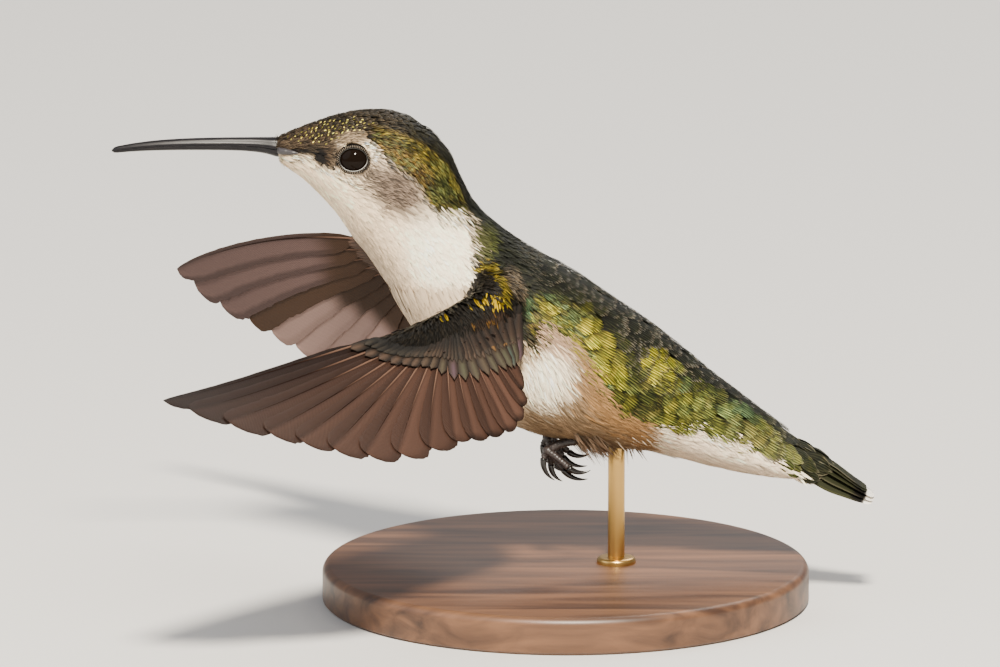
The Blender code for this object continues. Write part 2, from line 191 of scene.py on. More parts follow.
# %% Side-view coordinates and the line between green and white
SIDE_TILT = math.tan(math.radians(CAMERA_LIFT))
EDGE = np.array((
    (-33.0, 48.5), (-28.3, 48.35), (-26.2, 48.0), (-25.1, 46.9), (-24.5, 46.8), (-24.2, 50.0),
    (-23.4, 50.55), (-21.8, 50.75), (-20.7, 49.8), (-19.2, 48.4), (-18.0, 47.0), (-16.1, 45.6),
    (-15.1, 44.3), (-14.5, 42.9), (-13.4, 41.8), (-11.2, 41.9), (-10.3, 40.9), (-9.6, 39.2),
    (-9.3, 37.0), (-8.4, 35.0), (-7.2, 33.0), (-5.3, 30.0), (-4.6, 27.2), (-3.3, 27.0),
    (-2.6, 30.0), (-0.1, 28.5), (1.0, 26.7), (2.1, 24.6), (3.5, 22.6), (4.6, 21.3),
    (7.0, 20.2), (8.5, 19.2), (10.1, 18.9), (13.2, 19.2), (16.3, 17.9), (18.3, 17.2),
    (20.6, 16.0), (24.0, 14.5), (27.4, 12.9), (31.5, 11.4), (34.0, 10.4),
))


def unit(vectors):
    return vectors / np.maximum(np.linalg.norm(vectors, axis=-1, keepdims=True), 1e-9)


def smooth(low, high, value):
    """0 below low, 1 above high, an easy ramp between."""
    share = np.clip((value - low) / (high - low), 0.0, 1.0)
    return share * share * (3.0 - 2.0 * share)


def mix(first, second, share):
    """first where share is 0, second where it is 1."""
    return first * (1.0 - share) + second * share


def side_height(points):
    """Height of points as seen by the camera, the same for both sides of the body."""
    return points[:, 2] - SIDE_TILT * np.abs(points[:, 1])


def line_distance(x, z, line):
    best = np.full(len(x), 1e9)
    for (x0, z0), (x1, z1) in zip(line, line[1:]):
        run = np.array((x1 - x0, z1 - z0))
        share = ((x - x0) * run[0] + (z - z0) * run[1]) / (run @ run)
        share = np.clip(share, 0.0, 1.0)
        best = np.minimum(best, np.hypot(x - x0 - share * run[0], z - z0 - share * run[1]))
    return best


def edge_side(x, z):
    """Distance above the parting line, negative below it."""
    above = np.where(z > np.interp(x, EDGE[:, 0], EDGE[:, 1]), 1.0, -1.0)
    return above * line_distance(x, z, EDGE)


def patch(x, z, centre, radii, turn=0.0, firm=0.6):
    """1 in the middle of an oval patch, 0 outside it, falling off from firm to its rim."""
    c = math.cos(math.radians(turn))
    s = math.sin(math.radians(turn))
    dx = x - centre[0]
    dz = z - centre[1]
    far = np.hypot((dx * c + dz * s) / radii[0], (-dx * s + dz * c) / radii[1])
    return 1.0 - smooth(firm, 1.15, far)


print("parting line from", EDGE[0], "to", EDGE[-1])

# %% [markdown]
# The paints are what is left of each feather's colour without light on it, apart from a few
# that are laid on as painted highlights and painted shade, as said where they are used. They
# could be ramps along the body, but a real bird's colours stop and start, so each is named and
# laid on by itself, the way one would paint a carved bird: ground colours first, patches over
# them.

# %% Paint chart
PAINT = {
    "crown": srgb(46, 38, 26),
    "crown_rim": srgb(104, 88, 68),
    "nape": srgb(34, 31, 17),
    "gold": srgb(120, 102, 28),
    "amber": srgb(92, 70, 28),
    "moss": srgb(86, 88, 44),
    "back": srgb(28, 29, 17),
    "back_rim": srgb(100, 91, 76),
    "green": srgb(76, 78, 32),
    # Yellow of painted highlights where the light strikes the flank squarely.
    "lit_yellow": srgb(142, 132, 30),
    "rump": srgb(100, 102, 42),
    "sea": srgb(84, 110, 74),
    "tail": srgb(40, 40, 26),
    "tail_rim": srgb(116, 108, 84),
    "throat": srgb(250, 224, 188),
    "white": srgb(255, 240, 210),
    "ear": srgb(108, 92, 78),
    "fuzz": srgb(88, 75, 58),
    "lore": srgb(20, 15, 11),
    "face": srgb(64, 50, 36),
    # Gold of painted glints on single scales.
    "glint_gold": srgb(196, 176, 78),
    "brow": srgb(102, 84, 62),
    # Grey-tan laid on mostly as painted shade, down the front and over the lower breast.
    "breast": srgb(188, 166, 138),
    "mouse": srgb(160, 130, 104),
    "cinnamon": srgb(142, 106, 66),
    "belly": srgb(136, 112, 84),
    "vent": srgb(244, 224, 196),
    "arm": srgb(24, 19, 12),
    "sheaf": srgb(122, 120, 62),
}


def blend(base, paint, weight):
    return mix(base, PAINT[paint][None, :], np.clip(weight, 0.0, 1.0)[:, None])


def ground(paint, count):
    return np.repeat(PAINT[paint][None, :], count, 0)


print(len(PAINT), "paints")

# %% [markdown]
# Above the line the crown is dusky, the nape gold and moss green, and the back dark with pale
# feather edges. The brightest patches, on the flank, are painted highlights: yellow where the
# light strikes the iridescent feathers squarely.

# %% The upper side
GOLD_TOP = np.array((
    (-30.0, 49.6), (-24.0, 50.9), (-21.0, 51.6), (-19.3, 51.1), (-15.0, 49.1), (-12.8, 47.1),
    (-11.6, 44.7), (-10.7, 42.4), (-9.6, 40.0), (-6.0, 37.0),
))
BAND_X = (-6.0, 0.0, 6.0, 12.0, 20.0)
BAND = (2.2, 3.4, 4.6, 4.4, 2.6)


def upper_paint(x, z, side):
    """Tint of the upper side, and how far each place is bright nape or bright flank."""
    top = ground("crown", len(x))
    top = blend(top, "face", patch(x, z, (-27.8, 50.2), (3.4, 1.5), 14.0) * 0.8)
    top = blend(top, "nape", smooth(-19.0, -15.0, x))
    top = blend(top, "back", smooth(-11.5, -8.5, x))
    under_crown = np.interp(x, GOLD_TOP[:, 0], GOLD_TOP[:, 1]) - z
    vivid = smooth(-0.5, 0.7, under_crown) * smooth(-21.0, -19.6, x) * (1.0 - smooth(-11.2, -9.8, x))
    top = blend(top, "amber", vivid)
    top = blend(top, "gold", vivid * smooth(1.2, 2.8, side))
    top = blend(top, "moss", vivid * smooth(-14.8, -13.0, x))
    top = blend(top, "green", patch(x, z, (-8.6, 38.3), (1.6, 2.4)) * 0.7)

    band = np.interp(x, BAND_X, BAND)
    flank = smooth(-5.0, -3.0, x) * (1.0 - smooth(band - 0.9, band + 0.9, side))
    flank = flank * (1.0 - smooth(19.0, 23.0, x) * 0.6)
    top = blend(top, "green", flank * 0.9)
    flank = np.maximum(flank, patch(x, z, (9.9, 25.2), (2.6, 1.7), -40.0))
    # Painted highlights: yellow where the light strikes the iridescent flank squarely.
    lit_yellow = np.maximum(
        patch(x, z, (3.4, 26.9), (4.2, 2.4), -48.0), patch(x, z, (-1.4, 30.9), (2.4, 0.8), -38.0))
    lit_yellow = np.maximum(lit_yellow, patch(x, z, (9.9, 25.2), (2.6, 1.5), -40.0))
    top = blend(top, "lit_yellow", flank * lit_yellow)
    top = blend(top, "nape", patch(x, z, (-3.8, 28.4), (0.9, 2.2)) * 0.8)
    top = blend(top, "sea", patch(x, z, (-3.6, 31.4), (0.9, 1.3)) * 0.7)
    top = blend(top, "rump", smooth(10.0, 13.0, x) * flank * 0.8)
    top = blend(top, "sea", patch(x, z, (18.4, 20.0), (2.4, 0.9), -38.0) * 0.45)
    high_tail = smooth(20.5, 23.0, x) * smooth(0.6, 1.6, side)
    top = blend(top, "tail", np.maximum(high_tail, smooth(25.0, 27.0, x)))
    top = blend(top, "sheaf", patch(x, z, (21.6, 16.9), (4.4, 1.1), -32.0) * 0.8)
    return top, vivid, flank


# %% [markdown]
# Below the line she is white on the neck and flank, with painted shade in grey-tan down the
# front of the throat and over the lower breast, greyer behind the eye, cinnamon along the
# lower flank and white again under the tail.

# %% The lower side
FRONT = np.array(((-26.1, 44.1), (-23.5, 40.8), (-21.4, 37.5), (-19.3, 34.3), (-17.1, 30.5)))


def lower_paint(x, z, side):
    low = ground("throat", len(x))
    low = blend(low, "white", patch(x, z, (-12.6, 37.6), (4.6, 6.0), 30.0))
    low = blend(low, "ear", patch(x, z, (-17.8, 44.4), (5.6, 3.5), -36.0, 0.3))
    low = blend(low, "ear", patch(x, z, (-21.4, 46.4), (1.9, 0.7), -12.0) * 0.7)
    low = blend(low, "white", patch(x, z, (-20.2, 48.2), (0.5, 1.0), 12.0) * 0.8)
    # Painted shade: grey-tan down the front of the throat and over the lower breast.
    front = (1.0 - smooth(0.5, 4.5, line_distance(x, z, FRONT))) * (1.0 - smooth(38.0, 44.0, z))
    low = blend(low, "breast", np.maximum(front, 1.0 - smooth(31.5, 35.0, z)) * 0.9)
    low = blend(low, "breast", smooth(-13.0, -10.0, x) * smooth(-1.3, -0.2, side) * 0.7)
    low = blend(low, "belly", smooth(-7.0, -3.0, x))
    low = blend(low, "mouse", patch(x, z, (-1.2, 28.0), (3.0, 2.2), -50.0))
    low = blend(low, "fuzz", patch(x, z, (-6.4, 33.4), (1.9, 3.4), -30.0))
    low = blend(low, "cinnamon", smooth(0.5, 3.0, x) * smooth(-3.2, -1.2, side))
    low = blend(low, "white", patch(x, z, (-2.0, 23.9), (3.3, 3.5), -20.0, 0.45))
    return blend(low, "vent", smooth(8.8, 11.0, x))


# %% [markdown]
# The skin round the eye is nearly black, in a ring that is a little lower than it is long.
# Where a feather lies is measured from the eye's line of sight, not from its middle, so the
# ring stays even round the bulge of the ball.

# %% Where the eyes look
EYES = [np.array(sum(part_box("eye_" + label), Vector()) / 2.0) / MM for label in ("left", "right")]
EYE_SQUASH = 1.18


def gaze(side):
    """The way an eye looks: out, a little ahead and up."""
    return unit(np.array((-0.07, side, 0.19)))


def eye_distance(points):
    """Distance from the line of sight of the nearer eye, stretched upright as its lids are low."""
    far = np.full(len(points), 1e9)
    for eye, side in zip(EYES, (-1.0, 1.0)):
        out = points - eye
        ahead = out @ gaze(side)
        off = out - ahead[:, None] * gaze(side)
        off[:, 2] *= EYE_SQUASH
        far = np.where(ahead > 0.0, np.minimum(far, np.linalg.norm(off, axis=1)), far)
    return far


print("eyes", [eye.round(2).tolist() for eye in EYES])

# %% [markdown]
# The patches that cross the line come last: the black of the folded wing root, the gold arc
# over the wrist, the dark lores in front of the eye and the brow above it. Each feather also
# gets a colour for its rim, and a share of shine.

# %% All markings together
WRIST_ARC = np.array((
    (-9.3, 35.7), (-8.6, 36.0), (-7.6, 35.8), (-6.8, 34.9), (-6.3, 33.4), (-6.4, 31.8)))


def markings(points, part=None):
    """Tint, rim colour and shine of the plumage at points in millimetres.

    part, from 0 to 1, says how far each point belongs to the green upper side. Without it the
    parting line decides.
    """
    x = points[:, 0]
    z = side_height(points)
    side = edge_side(x, z)
    upper = smooth(-0.35, 0.35, side) if part is None else part * np.ones(len(x))
    top, vivid, flank = upper_paint(x, z, side)
    tint = mix(lower_paint(x, z, side), top, upper[:, None])

    window = smooth(-10.0, -9.5, x) * (1.0 - smooth(-5.4, -4.6, x)) * smooth(28.0, 29.0, z)
    window = window * (1.0 - smooth(36.4, 37.0, z)) * (side < 1.6)
    tint = blend(tint, "arm", window)
    tint = blend(tint, "fuzz", patch(x, z, (-5.3, 34.0), (0.9, 2.2), 20.0))
    arc_gold = (1.0 - smooth(0.25, 0.5, line_distance(x, z, WRIST_ARC))) * (np.abs(points[:, 1]) > 3.0)
    tint = blend(tint, "gold", arc_gold)
    tint = blend(tint, "face", patch(x, z, (-24.6, 48.2), (1.5, 1.6)) * 0.9)
    lore = patch(x, z, (-25.8, 48.0), (0.9, 1.1), 20.0)
    lore = np.maximum(lore, patch(x, z, (-28.6, 48.65), (2.6, 0.32), -2.0) * 0.9)
    tint = blend(tint, "lore", lore)
    brow = patch(x, z, (-22.6, 50.2), (2.5, 0.9), 4.0)
    tint = blend(tint, "brow", brow * 0.9)
    tint = blend(tint, "lore", (1.0 - smooth(1.74, 1.92, eye_distance(points))) * 0.85)

    plain = upper * (1.0 - vivid)
    bright = np.maximum(vivid, flank)
    rim = blend(tint, "crown_rim", plain * (1.0 - smooth(-21.0, -15.0, x)) * (1.0 - lore) * 0.9)
    rim = blend(rim, "back_rim", plain * smooth(-12.0, -6.0, x) * smooth(2.8, 5.5, side) * 0.7)
    rim = blend(rim, "tail_rim", upper * smooth(19.0, 22.0, x) * 0.6)
    rim = rim * (1.0 - 0.35 * bright[:, None] * upper[:, None])
    shine = upper * (1.0 - lore) * (1.0 - brow) * (0.05 + 0.25 * bright) * (1.0 - window)
    return tint, rim, np.maximum(shine, arc_gold * 0.5)

# %% [markdown]
# ## The skin
#
# Under the feathers the body is one surface. The solids of head, neck, trunk, rump and both
# arms are swollen a little so that the cuts between them close, and fused by a voxel remesh. A
# union of the solids would keep their facets and creases, which would show between feathers.

# %% Fuse the flesh
FLESH = ("head", "neck", "trunk", "rump", "wing_left_arm", "wing_right_arm")
SWELL = 0.25
VOXEL = 0.30


def fuse_flesh():
    bm = bmesh.new()
    for name in FLESH:
        bm.from_mesh(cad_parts[name].data)
    bmesh.ops.remove_doubles(bm, verts=bm.verts, dist=0.000002)
    bmesh.ops.recalc_face_normals(bm, faces=bm.faces)
    bm.normal_update()
    for vertex in bm.verts:
        vertex.co += vertex.normal * SWELL * MM
    mesh = bpy.data.meshes.new("swollen")
    bm.to_mesh(mesh)
    bm.free()
    block = new_object("swollen", mesh)
    remesh = block.modifiers.new("fuse", "REMESH")
    remesh.mode = "VOXEL"
    remesh.voxel_size = VOXEL * MM
    graph = bpy.context.evaluated_depsgraph_get()
    fused = bpy.data.meshes.new_from_object(block.evaluated_get(graph))
    bpy.data.objects.remove(block)
    return fused


skin_mesh = fuse_flesh()
skin_mesh.name = "skin"
print("fused", len(skin_mesh.vertices), "vertices")

# %% [markdown]
# The fused surface is softened, then drawn in by what it was swollen and by the depth of the
# coat that will cover it: thin on the face and arms, thick on the belly.

# %% Settle the skin
DEPTH_X = (-31.0, -27.0, -21.0, -12.0, 0.0, 14.0, 27.0)
DEPTH = (0.10, 0.18, 0.30, 0.50, 0.62, 0.55, 0.30)
ARM_DEPTH = 0.10


def vertex_values(mesh, field):
    """Places or normals of the vertices of a mesh, as (vertices, 3)."""
    flat = np.empty(len(mesh.vertices) * 3)
    mesh.vertices.foreach_get(field, flat)
    return flat.reshape(-1, 3)


def soften(mesh, rounds):
    bm = bmesh.new()
    bm.from_mesh(mesh)
    for _ in range(rounds):
        bmesh.ops.smooth_vert(
            bm, verts=bm.verts, factor=0.5, use_axis_x=True, use_axis_y=True, use_axis_z=True)
    bm.to_mesh(mesh)
    bm.free()


def coat_depth(points):
    on_arm = smooth(7.6, 9.4, np.abs(points[:, 1]))
    return mix(np.interp(points[:, 0], DEPTH_X, DEPTH), ARM_DEPTH, on_arm)


def draw_in(mesh):
    points = vertex_values(mesh, "co") / MM
    inward = (SWELL + coat_depth(points))[:, None] * vertex_values(mesh, "normal")
    mesh.vertices.foreach_set("co", ((points - inward) * MM).ravel())
    mesh.update()


soften(skin_mesh, 6)
draw_in(skin_mesh)
soften(skin_mesh, 2)
skin_points = vertex_values(skin_mesh, "co") / MM
skin_normals = vertex_values(skin_mesh, "normal")
print("skin from", skin_points.min(0).round(1), "to", skin_points.max(0).round(1))

# %% [markdown]
# The spine runs from the bill to the tail. A place on the body is told by how far along the
# spine it lies and how far round it. That pair also unwraps the skin: every feather's patch of
# the bake map sits where its root does.

# %% Spine and unwrap
SPINE = np.array((
    (-33.0, 49.2), (-29.0, 49.0), (-24.0, 48.0), (-19.5, 46.3), (-16.5, 43.0), (-13.8, 38.6),
    (-10.5, 34.4), (-6.0, 30.2), (0.0, 26.4), (7.0, 22.8), (14.0, 19.6), (21.0, 16.8), (30.0, 12.8),
))
SPINE_RUN = np.concatenate(((0.0,), np.cumsum(np.hypot(*np.diff(SPINE, axis=0).T))))
ROUND = 0.92


def along_spine(points):
    """Distance along the spine, and the angle round it, 0 on the back."""
    x = points[:, 0]
    z = points[:, 2]
    best = np.full(len(x), 1e9)
    where = np.zeros(len(x))
    lift = np.zeros(len(x))
    for i in range(len(SPINE) - 1):
        run = SPINE[i + 1] - SPINE[i]
        length = np.hypot(*run)
        ahead = run / length
        share = ((x - SPINE[i][0]) * ahead[0] + (z - SPINE[i][1]) * ahead[1]) / length
        share = np.clip(share, 0.0, 1.0)
        dx = x - SPINE[i][0] - share * run[0]
        dz = z - SPINE[i][1] - share * run[1]
        far = np.hypot(dx, dz)
        closer = far < best
        best = np.where(closer, far, best)
        where = np.where(closer, SPINE_RUN[i] + share * length, where)
        lift = np.where(closer, -dx * ahead[1] + dz * ahead[0], lift)
    return where, np.arctan2(points[:, 1], lift)


def unwrap(points):
    where, angle = along_spine(points)
    u = 0.04 + 0.92 * where / SPINE_RUN[-1]
    v = 0.5 + ROUND / 2.0 * angle / math.pi
    return np.stack((u, v), 1)


print("spine", round(SPINE_RUN[-1], 1), "mm long")

# %% [markdown]
# ## Feather surface
#
# Barbs run out from the shaft as fine parallel lines. The vane map holds millimetres across
# and along each feather, so one wave texture draws the barbs on all of them, both as painted
# shade between them and in relief. Iridescent feathers are partly metallic, and take their
# glints from the light.
# Thin-film colour could be worked out from the angle of view, but a painted drift of hue and
# brightness over each patch reads the same.

# %% Feather materials
def shader_node(nodes, kind, **inputs):
    """Add a shader node and set its inputs, with _ for the spaces in their names."""
    made = nodes.new("ShaderNode" + kind)
    for name, value in inputs.items():
        made.inputs[name.replace("_", " ")].default_value = value
    return made


def two_tone(nodes, low, first, high, second):
    """A colour ramp, first up to low and second from high on."""
    ramp = nodes.new("ShaderNodeValToRGB")
    for element, place, colour in zip(ramp.color_ramp.elements, (low, high), (first, second)):
        element.position = place
        element.color = (*colour, 1.0)
    return ramp


def vector_node(nodes, operation):
    made = nodes.new("ShaderNodeVectorMath")
    made.operation = operation
    return made


def wire(material, links):
    for source, target in links:
        material.node_tree.links.new(source, target)


def tinted_material(name, roughness, specular):
    """Vertex tint alone, for skin and other bare parts."""
    material, nodes, shader = new_material(name, roughness, specular)
    tint = nodes.new("ShaderNodeAttribute")
    tint.attribute_name = "tint"
    wire(material, ((tint.outputs["Color"], shader.inputs["Base Color"]),))
    return material


def feather_material(name, barb, contrast, roughness, relief, specular, glint=0.0):
    """Vertex tint, with painted shade between the barbs, and the barbs' relief.

    barb is their spacing. glint is how strongly small patches drift in brightness and between
    gold and green, as painted glints.
    """
    material, nodes, shader = new_material(name, roughness, specular)
    tint = nodes.new("ShaderNodeAttribute")
    tint.attribute_name = "tint"
    vane = nodes.new("ShaderNodeUVMap")
    vane.uv_map = "vane"
    wave = shader_node(
        nodes, "TexWave", Scale=0.314 / barb, Distortion=0.8, Detail=2.0, Detail_Scale=1.8)
    wave.bands_direction = "X"
    shade = shader_node(nodes, "MapRange", To_Min=1.0 - contrast, To_Max=1.0 + contrast * 0.5)
    bump = shader_node(nodes, "Bump", Strength=relief, Distance=0.00003)
    place = nodes.new("ShaderNodeTexCoord")
    noise = shader_node(nodes, "TexNoise", Scale=1900.0, Detail=1.5)
    golden = (1.0 - glint, 1.0 - 0.75 * glint, 1.0 - 0.4 * glint)
    drift = two_tone(nodes, 0.32, golden, 0.68, (1.0, 1.0, 1.0))
    lined = vector_node(nodes, "SCALE")
    hue = vector_node(nodes, "MULTIPLY")
    wire(material, (
        (place.outputs["Object"], noise.inputs["Vector"]),
        (noise.outputs["Fac"], drift.inputs["Fac"]),
        (tint.outputs["Color"], hue.inputs[0]),
        (drift.outputs["Color"], hue.inputs[1]),
        (vane.outputs["UV"], wave.inputs["Vector"]),
        (wave.outputs["Fac"], shade.inputs["Value"]),
        (hue.outputs["Vector"], lined.inputs[0]),
        (shade.outputs["Result"], lined.inputs["Scale"]),
        (lined.outputs["Vector"], shader.inputs["Base Color"]),
        (tint.outputs["Alpha"], shader.inputs["Metallic"]),
        (wave.outputs["Fac"], bump.inputs["Height"]),
        (bump.outputs["Normal"], shader.inputs["Normal"]),
    ))
    return material


scale_finish = feather_material("iridescent_feather", 0.30, 0.76, 0.52, 0.4, 0.12, 0.45)
silk_finish = feather_material("silky_feather", 0.09, 0.22, 0.65, 0.3, 0.25)
print("feather finishes:", scale_finish.name, silk_finish.name)

# %% [markdown]
# The skin wears the same markings, a little darker, so that a gap between feathers looks like
# the shade under them. It is one piece and stands for all six solids of flesh. Where its
# unwrap crosses the belly, the faces that would span the whole map are folded to one side.

# %% Finish the skin
def corner_uv(mesh, name, uv):
    """Store one UV pair for each vertex in a new UV map."""
    layer = mesh.uv_layers.new(name=name)
    corners = np.empty(len(mesh.loops), np.int32)
    mesh.loops.foreach_get("vertex_index", corners)
    layer.data.foreach_set("uv", uv[corners].astype(np.float32).ravel())
    return layer


def paint_vertices(mesh, tint, shine=0.0):
    """Store a tint for each vertex, and how metallic it is as the alpha."""
    alpha = np.broadcast_to(shine, tint.shape[:-1])[..., None]
    layer = mesh.color_attributes.new("tint", "FLOAT_COLOR", "POINT")
    layer.data.foreach_set("color", np.concatenate((tint, alpha), -1).astype(np.float32).ravel())


def add_piece(name, mesh, material, replaced=()):
    """Link a finished mesh as a piece of the bird that rides on its one body."""
    piece = new_object(name, mesh)
    mesh.materials.append(material)
    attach(piece, "root")
    if replaced:
        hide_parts(*replaced)
    return piece


def fold_seam(mesh, layer):
    """Move corners across the seam of the unwrap, where their face lies mostly past it."""
    uv = np.empty(len(mesh.loops) * 2, np.float32)
    layer.data.foreach_get("uv", uv)
    uv = uv.reshape(-1, 4, 2)
    spread = uv[:, :, 1].max(1) - uv[:, :, 1].min(1)
    folded = (spread > 0.5)[:, None] & (uv[:, :, 1] < 0.5)
    uv[:, :, 1] = np.where(folded, uv[:, :, 1] + ROUND, uv[:, :, 1])
    layer.data.foreach_set("uv", uv.ravel())


def finish_skin():
    tint, _, _ = markings(skin_points)
    wide = np.abs(skin_points[:, 1])
    upper = smooth(-0.35, 0.35, edge_side(skin_points[:, 0], side_height(skin_points)))
    tint = tint * (0.86 - 0.1 * upper)[:, None]
    shoulder = (skin_points[:, 2] > 29.0) * (skin_points[:, 0] < -3.0)
    tint = blend(tint, "arm", smooth(6.4, 6.9, wide) * shoulder)
    tint = blend(tint, "arm", smooth(7.8, 8.4, wide))
    tint = blend(tint, "lore", 1.0 - smooth(1.76, 1.96, eye_distance(skin_points)))
    paint_vertices(skin_mesh, tint)
    fold_seam(skin_mesh, corner_uv(skin_mesh, "OFBake", unwrap(skin_points)))
    smooth_faces(skin_mesh)
    add_piece("skin", skin_mesh, tinted_material("skin_down", 0.85, 0.2), FLESH)


finish_skin()
print("skin has", len(skin_mesh.polygons), "faces")

# %% [markdown]
# ## Planting feathers
#
# A small feather starts as a flat net of a few squares: u runs across it from -1 to 1, v from
# root to tip. Its outline, the pale rim and the notches between barbs at the tip come from
# formulas of u and v. A model of every barb would be far too heavy for thousands of feathers.

# %% Templates with one vane
def net_parts(columns, rows):
    """u from -1 to 1 and v from 0 to 1 at the corners of a net, and the corners of its squares."""
    bm = bmesh.new()
    bmesh.ops.create_grid(bm, x_segments=columns, y_segments=rows, size=1.0)
    bm.verts.index_update()
    u = np.array([vertex.co.x for vertex in bm.verts])
    v = np.array([(vertex.co.y + 1.0) / 2.0 for vertex in bm.verts])
    faces = np.array([[vertex.index for vertex in face.verts] for face in bm.faces])
    bm.free()
    return u, v, faces


def vane_template(columns, rows, outline, fringe, crowd=1.0):
    """A net with its half width at each v, and how far its tip is cut into barbs."""
    u, v, faces = net_parts(columns, rows)
    v = 1.0 - (1.0 - v) ** crowd
    order = np.rint((u + 1.0) * columns / 2.0).astype(int)
    cut = fringe * (order % 2) * smooth(0.72, 1.0, v)
    return {
        "u": u,
        "v": v - cut - 0.10 * u ** 2 * v,
        "half": outline(v),
        "rim": smooth(0.86, 0.99, np.maximum(np.abs(u) * smooth(0.5, 0.7, v), v)),
        "tone": np.ones(len(u)),
        "rise": np.zeros(len(u)),
        "faces": faces,
    }


def scale_outline(v):
    round_tip = np.sqrt(np.clip(1.0 - (np.clip(v - 0.55, 0.0, 1.0) / 0.47) ** 2, 0.0, 1.0))
    return np.minimum(0.35 + 1.3 * v, 1.0) * round_tip


def silk_outline(v):
    return (0.35 + 0.65 * smooth(0.0, 0.35, v)) * (1.0 - 0.55 * smooth(0.5, 1.0, v))


def strand_outline(v):
    return (0.5 + 0.5 * smooth(0.0, 0.3, v)) * (1.0 - 0.85 * smooth(0.4, 1.0, v))


def blade_outline(v):
    end = np.clip((v - 0.84) / 0.16, 0.0, 1.0)
    return (0.6 + 0.4 * smooth(0.0, 0.3, v)) * np.sqrt(np.clip(1.0 - end ** 2, 0.01, 1.0))


def blade_template():
    """A round-tipped covert, painted with sheen down its middle and shade towards its edges."""
    blade = vane_template(6, 9, blade_outline, 0.0, 1.8)
    blade["tone"] = 1.4 - 1.15 * np.abs(blade["u"])
    return blade


# %% [markdown]
# On the flank the barbs are coarse enough to see one by one, as stripes. There each feather is
# a fan of separate strips at two levels, each painted dark along one edge and light along the
# other, as painted shade and light on a round barb.

# %% Templates with separate barbs
def fan_template(barbs, rows, splay):
    edge, t, strip = net_parts(1, rows)
    number = np.arange(barbs)[:, None]
    share = (number + 0.5) / barbs * 2.0 - 1.0
    reach = 0.62 + 0.38 * np.sqrt(1.0 - share ** 2) + 0.02 * (number % 3)
    v = 0.06 * np.abs(share) + t * (reach - 0.06 * np.abs(share))
    half = 0.86 / barbs * (1.0 - 0.55 * smooth(0.75, 1.0, t))
    u = share * (1.0 - splay + splay * t ** 0.8) + edge * half
    return {
        "u": u.ravel(),
        "v": v.ravel(),
        "half": np.ones(u.size),
        "rim": smooth(0.86, 1.0, np.broadcast_to(t, u.shape)).ravel(),
        # Painted light and shade: each barb dark along one edge and light along the other.
        "tone": (0.98 + 0.9 * np.broadcast_to(edge, u.shape)).ravel(),
        "rise": (0.03 * (number % 2) * np.ones(u.shape)).ravel(),
        "faces": (strip[None] + (number * len(t))[:, :, None]).reshape(-1, 4),
    }


TEMPLATES = {
    "scale": vane_template(8, 7, scale_outline, 0.055),
    "silk": vane_template(4, 5, silk_outline, 0.16),
    "strand": vane_template(2, 5, strand_outline, 0.0),
    "fan": fan_template(8, 5, 0.45),
    "tuft": fan_template(4, 4, 0.4),
    "blade": blade_template(),
}
print({kind: len(template["faces"]) for kind, template in TEMPLATES.items()}, "squares each")

# %% [markdown]
# Planting bends a copy of the net along a curve over the skin, for all feathers of a zone at
# once, and joins them into one mesh of real copies, not instances. The export keeps no
# instances, so real copies it is.

# %% Planting
PATCH_SIZE = 0.003


def grid_mesh(name, positions, faces):
    """One mesh from copies of the same squares, positions as (copies, points, 3) in mm."""
    copies, size, _ = positions.shape
    mesh = bpy.data.meshes.new(name)
    mesh.vertices.add(copies * size)
    mesh.vertices.foreach_set("co", (positions * MM).astype(np.float32).ravel())
    corners = (faces[None] + (np.arange(copies) * size)[:, None, None]).astype(np.int32)
    mesh.loops.add(corners.size)
    mesh.loops.foreach_set("vertex_index", corners.ravel())
    squares = copies * len(faces)
    mesh.polygons.add(squares)
    mesh.polygons.foreach_set("loop_start", np.arange(squares, dtype=np.int32) * 4)
    smooth_faces(mesh)
    mesh.update(calc_edges=True)
    return mesh


def bent_net(template, curve, normals, width, camber):
    """Places of every corner, as (feathers, points, 3), on curves of three points each."""
    u = template["u"]
    v = template["v"]
    weights = np.stack(((1 - v) ** 2, 2 * v * (1 - v), v ** 2))
    slopes = np.stack((-2 * (1 - v), 2 - 4 * v, 2 * v))
    root, middle, tip = curve
    control = np.stack((root, 2.0 * middle - 0.5 * (root + tip), tip), 1)
    path = np.einsum("nkd,km->nmd", control, weights)
    ahead = unit(np.einsum("nkd,km->nmd", control, slopes))
    up = unit(np.einsum("nkd,km->nmd", np.stack(normals, 1), weights))
    across = unit(np.cross(ahead, up))
    up = np.cross(across, ahead)
    half = template["half"][None, :] * width[:, None] / 2.0
    positions = path + across * (u[None, :] * half)[:, :, None]
    return positions + up * (camber * half * (1.0 - u[None, :] ** 2) + template["rise"])[:, :, None]


def vane_paint(template, look):
    """Tint and shine of every corner: painted shade at the root, a rim or a painted streak of sheen."""
    u = template["u"]
    v = template["v"]
    rim = template["rim"]
    if "sheen" in look:
        streak = (1.0 - np.abs(u)) * (1.0 - 0.75 * smooth(0.86, 1.0, v))
        rim = smooth(look["sheen"], look["sheen"] + 0.25, v) * np.clip(1.3 * streak, 0.0, 1.0) ** 1.5
    tint = mix(look["tint"][:, None, :], look["rim"][:, None, :], rim[None, :, None])
    shade = look["shade"]
    tone = (1.0 - shade + shade * smooth(0.15, 0.75, v)) * template["tone"]
    # Painted light: one half of a shining feather is lighter than the other.
    lean = 1.0 + look.get("lean", np.zeros(len(tint)))[:, None] * u[None, :]
    tint = np.clip(tint * (tone[None, :] * lean)[:, :, None], 0.0, 0.98)
    return tint, look["shine"][:, None] * (1.0 - 0.7 * rim[None, :])


